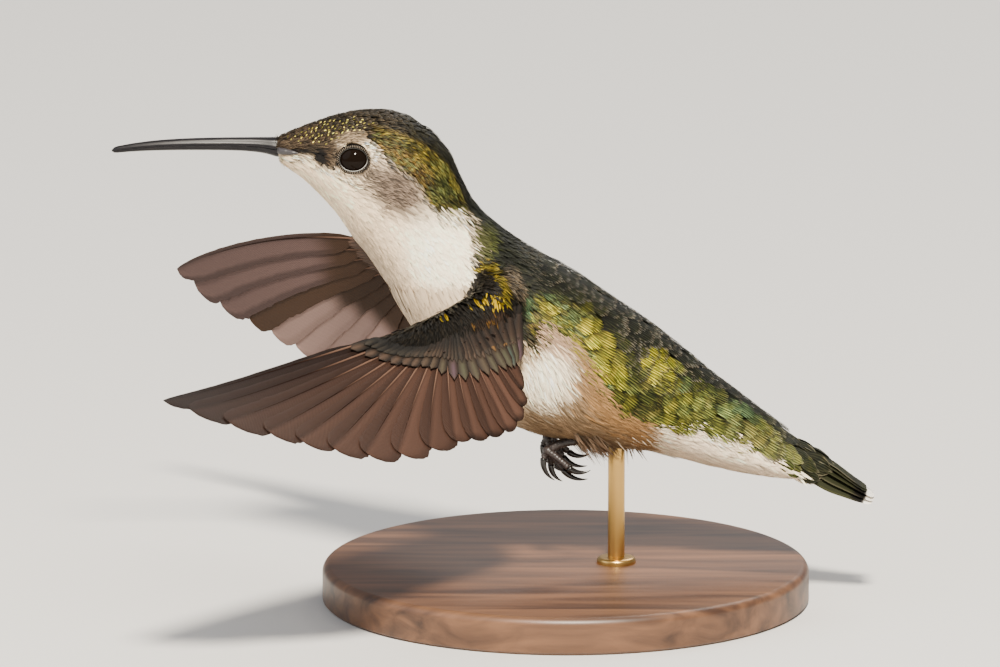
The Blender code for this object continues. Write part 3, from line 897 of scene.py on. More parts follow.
def plant(name, kind, curve, normals, width, length, look, material, camber=0.06):
    """Bend one template along each curve of three points and join the feathers.

    look holds tint, rim, shade and shine for the feathers, and where each one's patch lies on
    the unwrap; shade is painted shade at the roots. sheen, if given, is where along it a painted
    streak of sheen in the rim colour starts, and lean is how much lighter one half of it is, as
    painted light.
    """
    template = TEMPLATES[kind]
    u = template["u"]
    v = template["v"]
    mesh = grid_mesh(name, bent_net(template, curve, normals, width, camber), template["faces"])
    paint_vertices(mesh, *vane_paint(template, look))
    barbs = u[None, :] * width[:, None] / 2.0 + rng.random((len(width), 1))
    along_shaft = v[None, :] * length[:, None]
    corner_uv(mesh, "vane", np.stack((barbs, along_shaft), 2).reshape(-1, 2))
    spot = np.stack((u * PATCH_SIZE / 2.0, (v - 0.5) * PATCH_SIZE), 1)
    corner_uv(mesh, "OFBake", (look["place"][:, None, :] + spot[None]).reshape(-1, 2))
    add_piece(name, mesh, material)
    print(name, len(width), "feathers", 2 * len(mesh.polygons), "triangles")


# %% [markdown]
# ## The lay of the coat
#
# Feathers point away from the bill, over the crown and down the throat, then along the body to
# the tail. A handful of combing strokes seen from the side say which way, and each place on
# the skin follows the strokes nearest to it. Round the bill and the eyes they point outwards.

# %% Combing strokes
STROKES = np.array((
    (-28.0, 50.8, 0.95, 0.45), (-24.0, 52.6, 1.0, 0.12), (-19.5, 53.0, 1.0, -0.1),
    (-15.5, 51.5, 0.75, -0.65), (-12.5, 47.5, 0.4, -0.92), (-10.5, 43.5, 0.5, -0.85),
    (-24.8, 50.4, 1.0, 0.1), (-21.0, 50.3, 0.95, -0.3), (-18.0, 48.5, 0.7, -0.7),
    (-15.0, 45.8, 0.5, -0.86), (-28.5, 47.6, 0.85, -0.5), (-25.5, 46.6, 0.85, -0.5),
    (-22.0, 45.6, 0.95, -0.3), (-18.5, 45.0, 0.95, -0.35), (-16.0, 43.6, 0.8, -0.6),
    (-27.0, 45.4, 0.62, -0.78), (-23.0, 41.0, 0.55, -0.83), (-18.0, 40.0, 0.6, -0.8),
    (-13.0, 38.5, 0.62, -0.78), (-14.5, 32.0, 0.45, -0.9), (-9.5, 26.0, 0.7, -0.7),
    (-8.0, 38.5, 0.75, -0.66), (-3.0, 35.0, 0.8, -0.6), (4.0, 30.5, 0.82, -0.57),
    (-2.5, 29.5, 0.72, -0.7), (2.0, 27.0, 0.8, -0.6), (4.5, 23.5, 0.8, -0.6),
    (-3.0, 25.5, 0.25, -0.97), (-1.0, 22.0, 0.55, -0.83), (1.5, 20.0, 0.85, -0.52),
    (-4.0, 20.5, 0.85, -0.52), (5.0, 20.5, 0.85, -0.52), (3.0, 17.8, 0.97, -0.2),
    (12.0, 24.5, 0.82, -0.57), (11.0, 21.0, 0.85, -0.52), (10.0, 17.5, 0.93, -0.36),
    (16.0, 17.0, 0.9, -0.42), (19.0, 18.5, 0.84, -0.54), (26.0, 14.5, 0.85, -0.52),
))
BILL_ROOT = np.array((-31.4, 0.0, 48.9))


def lay_direction(points, normals):
    """The way feathers point at places on the skin."""
    x = points[:, 0]
    z = side_height(points)
    total = np.zeros((len(x), 2))
    for sx, sz, dx, dz in STROKES:
        weight = 1.0 / ((x - sx) ** 2 + (z - sz) ** 2 + 0.6) ** 1.6
        total += weight[:, None] * np.array((dx, dz))
    total = unit(total)
    lay = np.stack((total[:, 0], np.zeros(len(x)), total[:, 1]), 1)
    near_bill = 1.0 - smooth(2.0, 6.0, np.linalg.norm(points - BILL_ROOT, axis=1))
    lay = mix(lay, unit(points - BILL_ROOT), near_bill[:, None])
    round_eye = 1.5 * (1.0 - smooth(1.75, 2.6, eye_distance(points)))
    for eye in EYES:
        lay = lay + unit(points - eye) * (round_eye * (points[:, 1] * eye[1] > 0.0))[:, None]
    return unit(lay - normals * np.sum(lay * normals, 1, keepdims=True))


print(len(STROKES), "combing strokes")

# %% [markdown]
# Real feathers sit in rows, staggered like tiles. Throwing points at the skin and keeping only
# those that are far enough from the ones kept before gives nearly that, with the small
# irregularity of a living coat.

# %% Scattering roots
def search_tree(points):
    found = KDTree(len(points))
    for i, point in enumerate(points):
        found.insert(point, i)
    found.balance()
    return found


def mesh_triangles(mesh):
    """The three corners of each triangle, as (triangles, 3) numbers of vertices."""
    mesh.calc_loop_triangles()
    flat = np.empty(len(mesh.loop_triangles) * 3, np.int32)
    mesh.loop_triangles.foreach_get("vertices", flat)
    return flat.reshape(-1, 3)


skin_tree = search_tree(skin_points)
triangle_corners = skin_points[mesh_triangles(skin_mesh)]
triangle_middles = triangle_corners.mean(1)
triangle_cross = np.cross(
    triangle_corners[:, 1] - triangle_corners[:, 0], triangle_corners[:, 2] - triangle_corners[:, 0])
triangle_areas = np.linalg.norm(triangle_cross, axis=1) / 2.0
triangle_facing = unit(triangle_cross)
print("skin area", round(triangle_areas.sum() / 100.0, 1), "square cm")


def on_skin(points):
    """Nearest places on the skin, with its normals there."""
    index = np.array([skin_tree.find(point)[1] for point in points])
    normal = unit(skin_normals[index])
    off = np.sum((points - skin_points[index]) * normal, 1, keepdims=True)
    return points - normal * off, normal


def spaced(thrown, spacing):
    """Numbers of the points that are at least spacing from every one kept before them."""
    cells = {}
    kept = []
    keys = np.floor(thrown / spacing).astype(int).tolist()
    nearby = [(ix, iy, iz) for ix in (-1, 0, 1) for iy in (-1, 0, 1) for iz in (-1, 0, 1)]
    for i, (place, key) in enumerate(zip(thrown.tolist(), keys)):
        others = [other for step in nearby
                  for other in cells.get((key[0] + step[0], key[1] + step[1], key[2] + step[2]), ())]
        if all(sum((p - q) ** 2 for p, q in zip(place, other)) >= spacing ** 2 for other in others):
            cells.setdefault(tuple(key), []).append(place)
            kept.append(i)
    return kept


def scatter(inside, spacing):
    """Root points at least spacing apart on the triangles marked as inside."""
    chosen = np.flatnonzero(inside)
    area = triangle_areas[chosen].sum()
    tries = int(area / spacing ** 2 * 5.0) + 1
    pick = rng.choice(chosen, tries, p=triangle_areas[chosen] / area)
    a = rng.random((tries, 1))
    b = rng.random((tries, 1))
    over = a + b > 1.0
    a = np.where(over, 1.0 - a, a)
    b = np.where(over, 1.0 - b, b)
    corner = triangle_corners[pick]
    thrown = corner[:, 0] + (corner[:, 1] - corner[:, 0]) * a + (corner[:, 2] - corner[:, 0]) * b
    return thrown[spaced(thrown, spacing)]


# %% [markdown]
# A feather lies on the skin from root to tip. Three places need care: near the eye it has to
# rise over the lids, over the rump's end it is drawn in to the tail, and where the skin turns
# away under it, as at the edge of the wing, it goes on straight.

# %% Shaping a feather over the skin
LID_CLEAR = 2.10
TAIL_END_X = 18.0
STRAIGHT_BACK = (0.9, 0.0, -0.43)


def lid_clearance(roots, normal):
    """How far places on the skin must rise along their normals to stand over the eyelids."""
    need = np.full(len(roots), -1.0)
    for eye in EYES:
        out = roots - eye
        ahead = np.sum(out * normal, 1)
        short = LID_CLEAR ** 2 - np.sum(out * out, 1)
        rise = np.sqrt(np.maximum(ahead ** 2 + short, 0.0)) - ahead
        need = np.maximum(need, np.where(short > 0.0, rise, -1.0))
    return need


def tuck(points):
    """Draw places behind the rump in towards the root of the tail."""
    share = smooth(25.4, 29.4, points[:, 0])
    axis = 14.95 + (25.6 - points[:, 0]) * 0.466
    y = points[:, 1] * (1.0 - 0.5 * share)
    return np.stack((points[:, 0], y, axis + (points[:, 2] - axis) * (1.0 - 0.35 * share)), 1)


def chosen_rows(mark, first, second):
    return np.where(mark[:, None], first, second)


def over_skin(roots, normal, lay, long):
    """Root, middle and tip of each feather with the normals there, and the lay with strays mended."""
    spots = [(roots, normal)]
    for share in (0.5, 1.0):
        straight = roots + lay * (long * share)[:, None]
        spot, spot_normal = on_skin(straight)
        gone = np.linalg.norm(spot - straight, axis=1) > 0.2 * long * share + 0.25
        gone |= np.sum(spot_normal * normal, 1) < 0.45
        spots.append((chosen_rows(gone, straight, spot), chosen_rows(gone, normal, spot_normal)))
    climbs = (spots[2][0] + spots[2][1] * 0.5 - roots)[:, 2] > 0.15 * long
    stray = (roots[:, 0] > TAIL_END_X) & climbs
    lay = chosen_rows(stray, np.array(STRAIGHT_BACK), lay)
    for i in (1, 2):
        straight = roots + lay * (long * 0.5 * i)[:, None]
        spot, spot_normal = spots[i]
        spots[i] = (tuck(chosen_rows(stray, straight, spot)), chosen_rows(stray, normal, spot_normal))
    return spots, lay


# %% [markdown]
# Each feather takes its colour from the markings at about two thirds of its length, where it
# is seen. Shining ones also get painted glints: they differ in hue and brightness in soft
# blotches, as their angle to the light does, and stray_paint frays the border between two
# colours.

# %% Colouring a feather
def ripple(points, size, waves=9):
    """Smooth random pattern, about 0 on average with a spread near 1, blotches of this size."""
    ways = unit(rng.normal(0.0, 1.0, (waves, 3))) * rng.uniform(0.7, 1.4, (waves, 1)) * math.pi / size
    phases = rng.uniform(0.0, 2.0 * math.pi, waves)
    return np.sin(points @ ways.T + phases).sum(1) * math.sqrt(2.0 / waves)


def feather_paint(roots, lay, long, mottle, part=None, hues=(), vary=0.5, glow=0.0, shade=0.4,
                  gilt=False, leaning=False, stray_paint=0.0):
    """The look of each feather.

    hues are paints that the shining parts shift towards in blotches, by up to vary, and glow
    is how strongly their brightness comes and goes: both are painted glints. gilt feathers are
    all gold, as painted glints, and leaning ones are brighter on their lower half, as painted
    light.
    """
    count = len(roots)
    seen = roots + lay * (long * 0.7)[:, None]
    seen = seen + rng.normal(0.0, stray_paint, seen.shape) * np.array((1.0, 0.0, 1.0))
    tint, rim, shine = markings(seen, part)
    bright = smooth(0.12, 0.26, shine)
    for hue in hues:
        weight = 0.5 + 0.5 * ripple(seen, 2.0) + 0.35 * rng.normal(0.0, 1.0, count)
        tint = blend(tint, hue, vary * bright * smooth(0.3, 1.1, weight))
    # A random tone for each feather, and painted glints that come and go in blotches where it shines.
    light = np.exp(mottle * rng.normal(0.0, 1.0, count) + glow * bright * ripple(seen, 1.3))
    light = np.clip(light, 0.35, 1.7)[:, None]
    # Painted glints: these scales are gold all over.
    if gilt:
        tint = ground("glint_gold", count)
        rim = tint
    front_low = 0.5 + 0.5 * smooth(-0.2, 0.5, -lay[:, 2] - 0.6 * lay[:, 0])
    tint = blend(tint, "lore", (1.0 - smooth(1.72, 1.95, eye_distance(roots))) * front_low)
    dotted = patch(roots[:, 0], side_height(roots), (-24.0, 46.9), (1.3, 0.9), -30.0)
    tint = blend(tint, "lore", 0.8 * dotted * (rng.random(count) < 0.4))
    return {
        "tint": np.clip(tint * light, 0.0, 0.95),
        "rim": np.clip(rim * light, 0.0, 0.95),
        "shine": shine * rng.uniform(0.7, 1.2, count),
        "place": unwrap(roots),
        "shade": shade,
        # Painted light on one half of each shining feather.
        "lean": -0.45 * np.sign(roots[:, 1]) * bright if leaning else np.zeros(count),
    }


# %% [markdown]
# One call grows one zone: it scatters the roots, combs them, bends a feather from each along
# the skin and plants them all. Every length varies a little, as on a living bird.

# %% Growing one zone
def grow(zone, kind, spacing, length, width, lift, sway, mottle, slot, material, floor=0.04, **paint):
    """Plant one zone of the coat, lift off the skin at the tips and floor at the roots."""
    roots, normal = on_skin(scatter(zones[zone], spacing))
    count = len(roots)
    lay = lay_direction(roots, normal)
    side = np.cross(normal, lay)
    lay = unit(lay + side * rng.normal(0.0, sway, count)[:, None])
    by_eye = 0.35 + 0.65 * smooth(1.7, 3.2, eye_distance(roots))
    long = length * rng.uniform(0.85, 1.15, count) * by_eye
    wide = width * rng.uniform(0.85, 1.15, count)
    spots, lay = over_skin(roots, normal, lay, long)
    bend = rng.normal(0.0, sway * 0.5, count)[:, None] * side * long[:, None]
    rise = lift * rng.uniform(0.85, 1.15, count)[:, None]
    base = [np.maximum(lid_clearance(*spot), floor)[:, None] for spot in spots]
    curve = (
        roots + normal * base[0],
        spots[1][0] + spots[1][1] * (base[1] + rise * 0.75),
        spots[2][0] + spots[2][1] * (base[2] + rise) + bend * 0.4,
    )
    look = feather_paint(roots, lay, long, mottle, **paint)
    normals = (normal, spots[1][1], spots[2][1])
    plant("plumage_" + zone, kind, curve, normals, wide, long, look, material)


# %% [markdown]
# ## The coat, zone by zone
#
# A hummingbird's crown is scaly, its throat silky, its flanks are broad iridescent fans and
# its belly is down. The zones are told apart by the same side view as the colours, with their
# borders shaken a little so that no straight seam shows.

# %% Zones of the coat
def zone_masks(points):
    """Which triangles of the skin bear which kind of feather."""
    x = points[:, 0]
    z = side_height(points)
    side = edge_side(x, z)
    wide = np.abs(points[:, 1])
    loose = x + rng.normal(0.0, 0.5, len(x))
    flap = (x < -28.2) & (z > 48.3) & (z < 49.25)
    bare = (wide < 8.6) & (eye_distance(points) > 1.62) & ~flap
    shoulder = (x > -9.6) & (x < -4.6) & (z > 28.5) & (z < 37.0) & (side < 1.6)
    body = bare & ~shoulder
    low = 0.5 * smooth(14.0, 18.0, x) - 0.9 * smooth(20.0, 22.0, x)
    upper = (side + rng.normal(0.0, 0.3, len(x)) * (x > -13.0) * (x < -6.0) > low) & (x < 27.0)
    clear = (wide < 6.5) | (z < 29.0) | (x > -3.0)
    # Share of scales that carry a painted glint of gold.
    glint_share = 0.6 * patch(x, z, (-25.2, 50.9), (4.9, 1.0), 8.0) * (wide > 1.1)
    cheek = ~upper & (x < -15.2) & (z > 43.2 + 0.35 * (x + 15.2)) & (z > 44.2 - 0.55 * (x + 22.0))
    lores = (x < -24.6) & (z > 47.6) & (z < 49.6)
    cheek = (cheek | lores) & (x > -31.2)
    gilded = np.interp(x, GOLD_TOP[:, 0], GOLD_TOP[:, 1]) - z + rng.normal(0.0, 0.35, len(x)) > -0.3
    nape = upper & ~cheek & (loose >= -20.6) & (x < -9.2) & (gilded | (loose > -14.5))
    head = body & upper & ~cheek & ~nape & (x < -9.2)
    coarse = (loose > 1.0) & (side > 0.8)
    pale = body & clear & ~upper
    dark = body & upper
    return {
        "forehead": head & (loose < -23.0),
        "gold_glints": dark & ~cheek & (rng.random(len(x)) < glint_share),
        "crown": head & (loose >= -23.0),
        "nape": body & nape,
        "cheek": body & cheek,
        "throat": pale & ~cheek & (x < -14.0) & (z > 34.0),
        "neck": pale & ~cheek & (x >= -14.0) & (z > 34.0) & (x < -8.7),
        "shoulder": bare & shoulder,
        "breast": pale & (z <= 34.0) & (x < -5.0),
        "belly": pale & (x >= -5.0) & (x < 9.5) & (z <= 34.0),
        "vent": body & ~upper & (x >= 9.5) & (x < 24.8) & (side < 1.0),
        "mantle": dark & (x >= -9.2) & (x < -3.0),
        "back": dark & (x >= -3.0) & (x < 10.0) & (side > 4.6),
        "hem": dark & (x >= -3.0) & (x < 21.0) & (side <= 4.6) & ~coarse,
        "flank": dark & (x < 10.0) & (side <= 4.6) & coarse,
        "rump": dark & (x >= 10.0) & (x < 21.0) & coarse,
        "coverts": dark & (x >= 21.0),
        "seam": body & clear & (np.abs(side) < 0.55) & (x > -13.4) & (x < 19.0),
    }


zones = zone_masks(triangle_middles + rng.normal(0.0, 0.22, triangle_middles.shape))
end_cap = (triangle_facing[:, 0] > 0.5) & (triangle_middles[:, 0] > 24.0)
zones = {name: inside & ~end_cap for name, inside in zones.items()}
print({name: int(inside.sum()) for name, inside in zones.items()})

# %% [markdown]
# The head has the smallest feathers, because it is looked at most. Dark scales with pale rims
# cover forehead and crown, with a few small gold scales over them as painted glints, the nape
# is gold and moss, and the cheek is fine down that parts round the eye.

# %% Head
# Each call gives the kind, then spacing, length, width, lift, sway and mottle.
grow("forehead", "scale", 0.32, 0.66, 0.48, 0.12, 0.08, 0.2,
     "feathers_head", scale_finish, 0.02, shade=0.6)
grow("gold_glints", "silk", 0.36, 0.30, 0.15, 0.10, 0.5, 1.0,
     "feathers_head", scale_finish, 0.14, gilt=True, shade=0.1)
grow("crown", "scale", 0.38, 0.90, 0.58, 0.14, 0.08, 0.22,
     "feathers_head", scale_finish, shade=0.6)
grow("nape", "strand", 0.23, 1.15, 0.34, 0.24, 0.16, 0.5,
     "feathers_neck", scale_finish, 0.14, hues=("gold", "amber", "moss"), vary=0.8, glow=0.4,
     shade=0.75)
grow("cheek", "strand", 0.15, 1.1, 0.14, 0.16, 0.18, 0.6,
     "feathers_head", silk_finish, 0.02, shade=0.45)

# %% [markdown]
# Throat and neck are a smooth silky bib. Over the shoulder and mantle the feathers are narrow
# and rough, since the wing ruffles them as it beats.

# %% Neck and shoulders
grow("throat", "silk", 0.25, 1.6, 0.36, 0.12, 0.08, 0.12,
     "feathers_neck", silk_finish, 0.12, part=0.0, shade=0.2, stray_paint=0.3)
grow("neck", "silk", 0.24, 1.8, 0.32, 0.16, 0.08, 0.08,
     "feathers_neck", silk_finish, 0.12, part=0.0, shade=0.15, stray_paint=0.3)
grow("shoulder", "strand", 0.24, 1.3, 0.30, 0.24, 0.14, 0.35,
     "feathers_trunk", scale_finish, 0.15, shade=0.5)
grow("mantle", "strand", 0.30, 1.6, 0.46, 0.26, 0.14, 0.4,
     "feathers_trunk", scale_finish, 0.2, part=1.0, hues=("amber", "moss", "lit_yellow"), vary=0.5,
     glow=0.5, shade=0.75)

# %% [markdown]
# The underside is long soft down. Its feathers overlap so far that single ones are hard to
# see, so they are narrow, and differ little in tone.

# %% Underside
grow("breast", "silk", 0.34, 2.4, 0.46, 0.2, 0.08, 0.07,
     "feathers_trunk", silk_finish, 0.3, part=0.0, shade=0.12)
grow("belly", "silk", 0.22, 3.0, 0.21, 0.3, 0.10, 0.2,
     "feathers_trunk", silk_finish, 0.3, part=0.0, shade=0.25, stray_paint=0.45)
grow("vent", "silk", 0.30, 2.8, 0.36, 0.3, 0.12, 0.08,
     "feathers_rump", silk_finish, 0.15, part=0.0, shade=0.12, stray_paint=0.3)

# %% [markdown]
# Back, flank and rump wear the broad fans. Small tufts make the ragged hem above the white,
# and a last strip of thin strands over the parting line mixes the two sides.

# %% Back, flank and rump
grow("hem", "tuft", 0.5, 1.7, 0.85, 0.22, 0.10, 0.3,
     "feathers_trunk", scale_finish, 0.26, part=1.0, hues=("amber", "moss", "sea"), vary=0.5,
     glow=0.3, shade=0.8)
grow("back", "fan", 0.85, 2.4, 1.8, 0.26, 0.08, 0.2,
     "feathers_trunk", scale_finish, 0.28, part=1.0, shade=0.6)
grow("flank", "fan", 0.95, 2.7, 2.0, 0.28, 0.08, 0.22,
     "feathers_trunk", scale_finish, 0.28, part=1.0, hues=("amber", "moss", "lit_yellow"), vary=0.4,
     glow=0.3, shade=0.85, leaning=True)
grow("rump", "fan", 1.0, 2.9, 2.0, 0.26, 0.06, 0.15,
     "feathers_rump", scale_finish, 0.28, part=1.0, hues=("sea", "lit_yellow", "amber"), vary=0.35,
     glow=0.3, shade=0.85, leaning=True)
grow("coverts", "scale", 0.85, 2.6, 1.5, 0.14, 0.05, 0.12,
     "feathers_rump", scale_finish, 0.14, part=1.0, shade=0.4)
grow("seam", "strand", 0.17, 1.2, 0.14, 0.26, 0.2, 0.25,
     "feathers_trunk", silk_finish, 0.34, shade=0.3, stray_paint=0.5)

# %% [markdown]
# A flying bird's thighs are hidden in plumes that stand off the belly behind the feet, with a
# few loose wisps farther back. They leave the coat and all point one way, so they don't follow
# the combing.

# %% Loose plumes
def wisps(name, reach, half_width, spacing, heading, length, width, paints):
    """Plumes from the underside between two places along it, for this far to each side."""
    x = triangle_middles[:, 0]
    wide = np.abs(triangle_middles[:, 1])
    inside = (triangle_facing[:, 2] < -0.25) & (x > reach[0]) & (x < reach[1])
    inside = inside & (wide > half_width[0]) & (wide < half_width[1])
    roots, normal = on_skin(scatter(inside, spacing))
    count = len(roots)
    lay = unit(np.array(heading) + rng.normal(0.0, 0.16, (count, 3)))
    long = length * rng.uniform(0.6, 1.25, count)
    middle = roots + lay * (long * 0.5)[:, None] + normal * 0.2
    share = rng.random((count, 1))
    tint = PAINT[paints[0]] * share + PAINT[paints[1]] * (1.0 - share)
    look = {"tint": tint, "rim": tint * 1.2, "shine": np.zeros(count), "place": unwrap(roots),
            "shade": 0.4}
    curve = (roots, middle, middle + lay * (long * 0.5)[:, None])
    plant(name, "strand", curve, (normal, normal, normal), width * rng.uniform(0.7, 1.2, count),
          long, look, silk_finish)


wisps("plumage_thighs", (0.2, 3.2), (1.4, 4.8), 0.15, (0.74, 0.0, -0.68), 3.2, 0.24,
      ("mouse", "fuzz"))
wisps("plumage_wisps", (4.0, 9.5), (-1.0, 5.0), 0.42, (0.85, 0.0, -0.4), 1.9, 0.2,
      ("belly", "vent"))

# %% [markdown]
# ## The long feathers of wing and tail
#
# A wing is drawn flat first. s runs out along it from the shoulder, c runs back from the
# leading edge, n stands up from its upper side. The pose then swings that drawing forward,
# down and round its own length. Both wings share the drawing and differ only in their pose.

# %% Wing plan and pose
WING_LENGTH = 49.0
HAND_END = 19.3
ROOT_STEP = 1.05
COVERT_DEPTH = 5.3
TIPS = np.array((
    (49.0, 2.9), (47.0, 4.7), (43.9, 6.8), (40.0, 8.7), (36.9, 10.3), (33.6, 11.9),
    (29.8, 13.2), (25.3, 13.8), (20.6, 14.0), (16.6, 14.1),
    (14.0, 14.8), (11.3, 15.2), (8.8, 15.3), (6.6, 14.6), (4.8, 13.3), (3.6, 11.6),
))
PRIMARIES = 10
WINGS = {
    "left": {
        "side": -1, "shoulder": (-8.05, -6.5, 35.65), "sweep": 49.5, "droop": 13.6,
        "pitch": 57.5, "twist": -35.0, "lift": 9.0, "curve": 0.0, "spread": 1.0},
    "right": {
        "side": 1, "shoulder": (-8.25, 6.5, 37.1), "sweep": 47.5, "droop": 3.2,
        "pitch": 83.0, "twist": -16.5, "lift": -0.7, "curve": 4.1, "spread": 1.05},
}


def wing_point(wing, s, c, n):
    """Places in the air of points of the wing plan."""
    s, c, n = np.broadcast_arrays(s, c, n)
    sweep = math.radians(wing["sweep"])
    droop = math.radians(wing["droop"])
    side = wing["side"]
    out = np.array((
        -math.sin(sweep) * math.cos(droop), side * math.cos(sweep) * math.cos(droop),
        -math.sin(droop)))
    back = np.array((math.cos(sweep), side * math.sin(sweep), 0.0))
    back = unit(back - out * (back @ out))
    up = np.cross(out, back) * -side
    share = s / WING_LENGTH
    pitch = np.radians(wing["pitch"] + wing["twist"] * share)[..., None]
    bend = share * np.abs(share)
    chord = back * np.cos(pitch) - up * np.sin(pitch)
    normal = up * np.cos(pitch) + back * np.sin(pitch)
    reach = (c * wing["spread"] + wing["curve"] * bend)[..., None]
    rise = (n + wing["lift"] * bend)[..., None]
    return np.array(wing["shoulder"]) + out * s[..., None] + chord * reach + normal * rise


for label, wing in WINGS.items():
    low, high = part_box("wing_" + label + "_primaries")
    print(label, "tip", wing_point(wing, *TIPS[0], 0.0).round(1), "solid x from",
          round(low.x / MM, 1), "to", round(high.x / MM, 1))


# %% [markdown]
# Each feather has a place k on the wing, 0 for the outermost. Its shaft starts at the hand or
# the forearm and bows forward a little on its way to the tip. Half places serve the coverts.

# %% Shafts and arm in the plan
def feather_root(k):
    return np.stack((HAND_END - ROOT_STEP * k, COVERT_DEPTH * (1.0 - np.exp(-k / 4.0)) + 0.1), -1)


def feather_tip(k):
    count = np.arange(len(TIPS))
    return np.stack((np.interp(k, count, TIPS[:, 0]), np.interp(k, count, TIPS[:, 1])), -1)


def shaft_line(k, v):
    """Points of the shaft at feather place k, as (places, points, 2)."""
    k = np.asarray(k, float)
    root = feather_root(k)[:, None, :]
    tip = feather_tip(k)[:, None, :]
    along = unit(tip - root)
    bow = 1.15 * np.exp(-k / 4.0)[:, None, None]
    hump = bow * (4.0 * v * (1.0 - v))[None, :, None]
    lead = np.stack((along[..., 1], -along[..., 0]), -1)
    return root + (tip - root) * v[None, :, None] + lead * hump


def heading_at(k):
    """The way the roots of the feathers point at place k."""
    line = shaft_line(k, np.array((0.0, 0.12)))
    return unit(line[:, 1] - line[:, 0])


def arm_height(s, c):
    """Half thickness of the arm at a place of the plan, 0 beyond it."""
    front = 0.15 - 1.7 * np.exp(-np.maximum(s, 0.0) / 2.2)
    rear = COVERT_DEPTH * (1.0 - np.exp(-(HAND_END - s) / ROOT_STEP / 4.0)) - 0.3
    across = (c - (front + rear) / 2.0) / np.maximum((rear - front) / 2.0, 0.05)
    thick = 0.42 + 1.5 * np.exp(-np.maximum(s, 0.0) / 4.5)
    return thick * np.sqrt(np.clip(1.0 - across ** 2, 0.0, 1.0)) * (1.0 - 0.35 * np.clip(across, -1, 1))


ROOT_LENGTHS = np.linalg.norm(TIPS - feather_root(np.arange(len(TIPS))), axis=1)
print("feather lengths", ROOT_LENGTHS.round(1))

# %% [markdown]
# A long feather is one net above and one below, joined along their outline. So the upper side
# can be dusky and the lower side pale, whichever side is looked at. A single net would be
# lighter, but carries only one tint for both sides.

# %% Vanes with two sheets
VANE_COLUMNS = 12
VANE_ROWS = 36


def vane_sheets(columns, rows):
    """Two nets that share their outline, level 1 above and -1 below."""
    u, v, faces = net_parts(columns, rows)
    border = (np.abs(u) > 0.999) | (v < 0.001) | (v > 0.999)
    level = np.repeat((1.0, -1.0), len(u))
    under = faces[:, (0, 3, 2, 1)] + len(u)
    return {
        "u": np.tile(u, 2),
        "v": np.tile(v, 2),
        "row": np.tile(np.rint(v * rows).astype(int), 2),
        "level": level,
        "height": np.where(np.tile(border, 2), 0.0, level),
        "faces": np.concatenate((faces, under)),
        "sheet": np.repeat((0, 1), len(faces)),
    }


VANE = vane_sheets(VANE_COLUMNS, VANE_ROWS)
VANE_STEPS = 1.0 - (1.0 - np.arange(VANE_ROWS + 1) / VANE_ROWS) ** 1.5
STRIPS = 32
flight_finish = feather_material("flight_feather", 0.30, 0.35, 0.6, 0.4, 0.1)


def tip_taper(steps, blunt):
    """Share of the full width left near the tip, a half ellipse over the last part."""
    inside = np.clip((steps - (1.0 - blunt)) / blunt, 0.0, 1.0)
    return np.maximum(np.sqrt(1.0 - inside ** 2), 0.03)


def strip_uv(mesh, count):
    """Lay each sheet of each vane in a strip of its own on the bake map."""
    u = VANE["u"][VANE["faces"]]
    v = VANE["v"][VANE["faces"]]
    strip = 2 * np.arange(count)[:, None, None] + VANE["sheet"][None, :, None]
    place = (strip + 0.08 + 0.84 * (u[None] + 1.0) / 2.0) / STRIPS
    uv = np.stack((place, np.broadcast_to(0.01 + 0.98 * v[None], place.shape)), -1)
    layer = mesh.uv_layers.new(name="OFBake")
    layer.data.foreach_set("uv", uv.astype(np.float32).ravel())


def vane_piece(name, positions, across, along, tint, shine, slot):
    """Join vanes, as (feathers, points, 3), with their barb map and tint."""
    mesh = grid_mesh(name, positions, VANE["faces"])
    paint_vertices(mesh, tint, shine)
    chevron = along - 1.7 * np.abs(across)
    corner_uv(mesh, "vane", np.stack((chevron, along), 2).reshape(-1, 2))
    strip_uv(mesh, len(positions))
    corner = (positions - positions.mean(1, keepdims=True))[:, VANE["faces"]]
    fold = np.cross(corner[..., 1, :] - corner[..., 0, :], corner[..., 2, :] - corner[..., 0, :])
    if np.sum(corner[..., 0, :] * fold) < 0.0:
        mesh.flip_normals()
    print(name, len(positions), "long feathers")
    return add_piece(name, mesh, flight_finish)


# %% [markdown]
# Each vane is just wide enough to reach under its neighbour. The outermost feather is the
# narrowest and stiffest. The edges are made a little ragged, since worn feathers are.

# %% Shape of the flight feathers
def nearest_gap(line, other):
    return np.linalg.norm(line[:, None, :] - other[None, :, :], axis=2).min(1)


def feather_plan():
    """Shaft, sideways direction and vane widths of all sixteen feathers in the plan."""
    last = len(TIPS) - 1
    shafts = shaft_line(np.arange(len(TIPS)), VANE_STEPS)
    along = unit(np.gradient(shafts, axis=1))
    lead = np.stack((along[..., 1], -along[..., 0]), -1)
    outer = np.empty(shafts.shape[:2])
    inner = np.full(shafts.shape[:2], 1.5)
    outer[0] = 0.5 - 0.15 * VANE_STEPS
    for k in range(last + 1):
        if k < last:
            inner[k] = np.clip(nearest_gap(shafts[k], shafts[k + 1]) * 1.05 + 0.3, 0.5, 3.3)
        if k > 0:
            outer[k] = np.clip(nearest_gap(shafts[k], shafts[k - 1]) * 0.5, 0.35, 1.5)
        blunt = (2.9 if k else 5.5) / ROOT_LENGTHS[k]
        narrowing = tip_taper(VANE_STEPS, blunt) * (0.35 + 0.65 * smooth(0.0, 0.12, VANE_STEPS))
        outer[k] *= narrowing
        inner[k] *= narrowing
    return shafts, lead, outer, inner


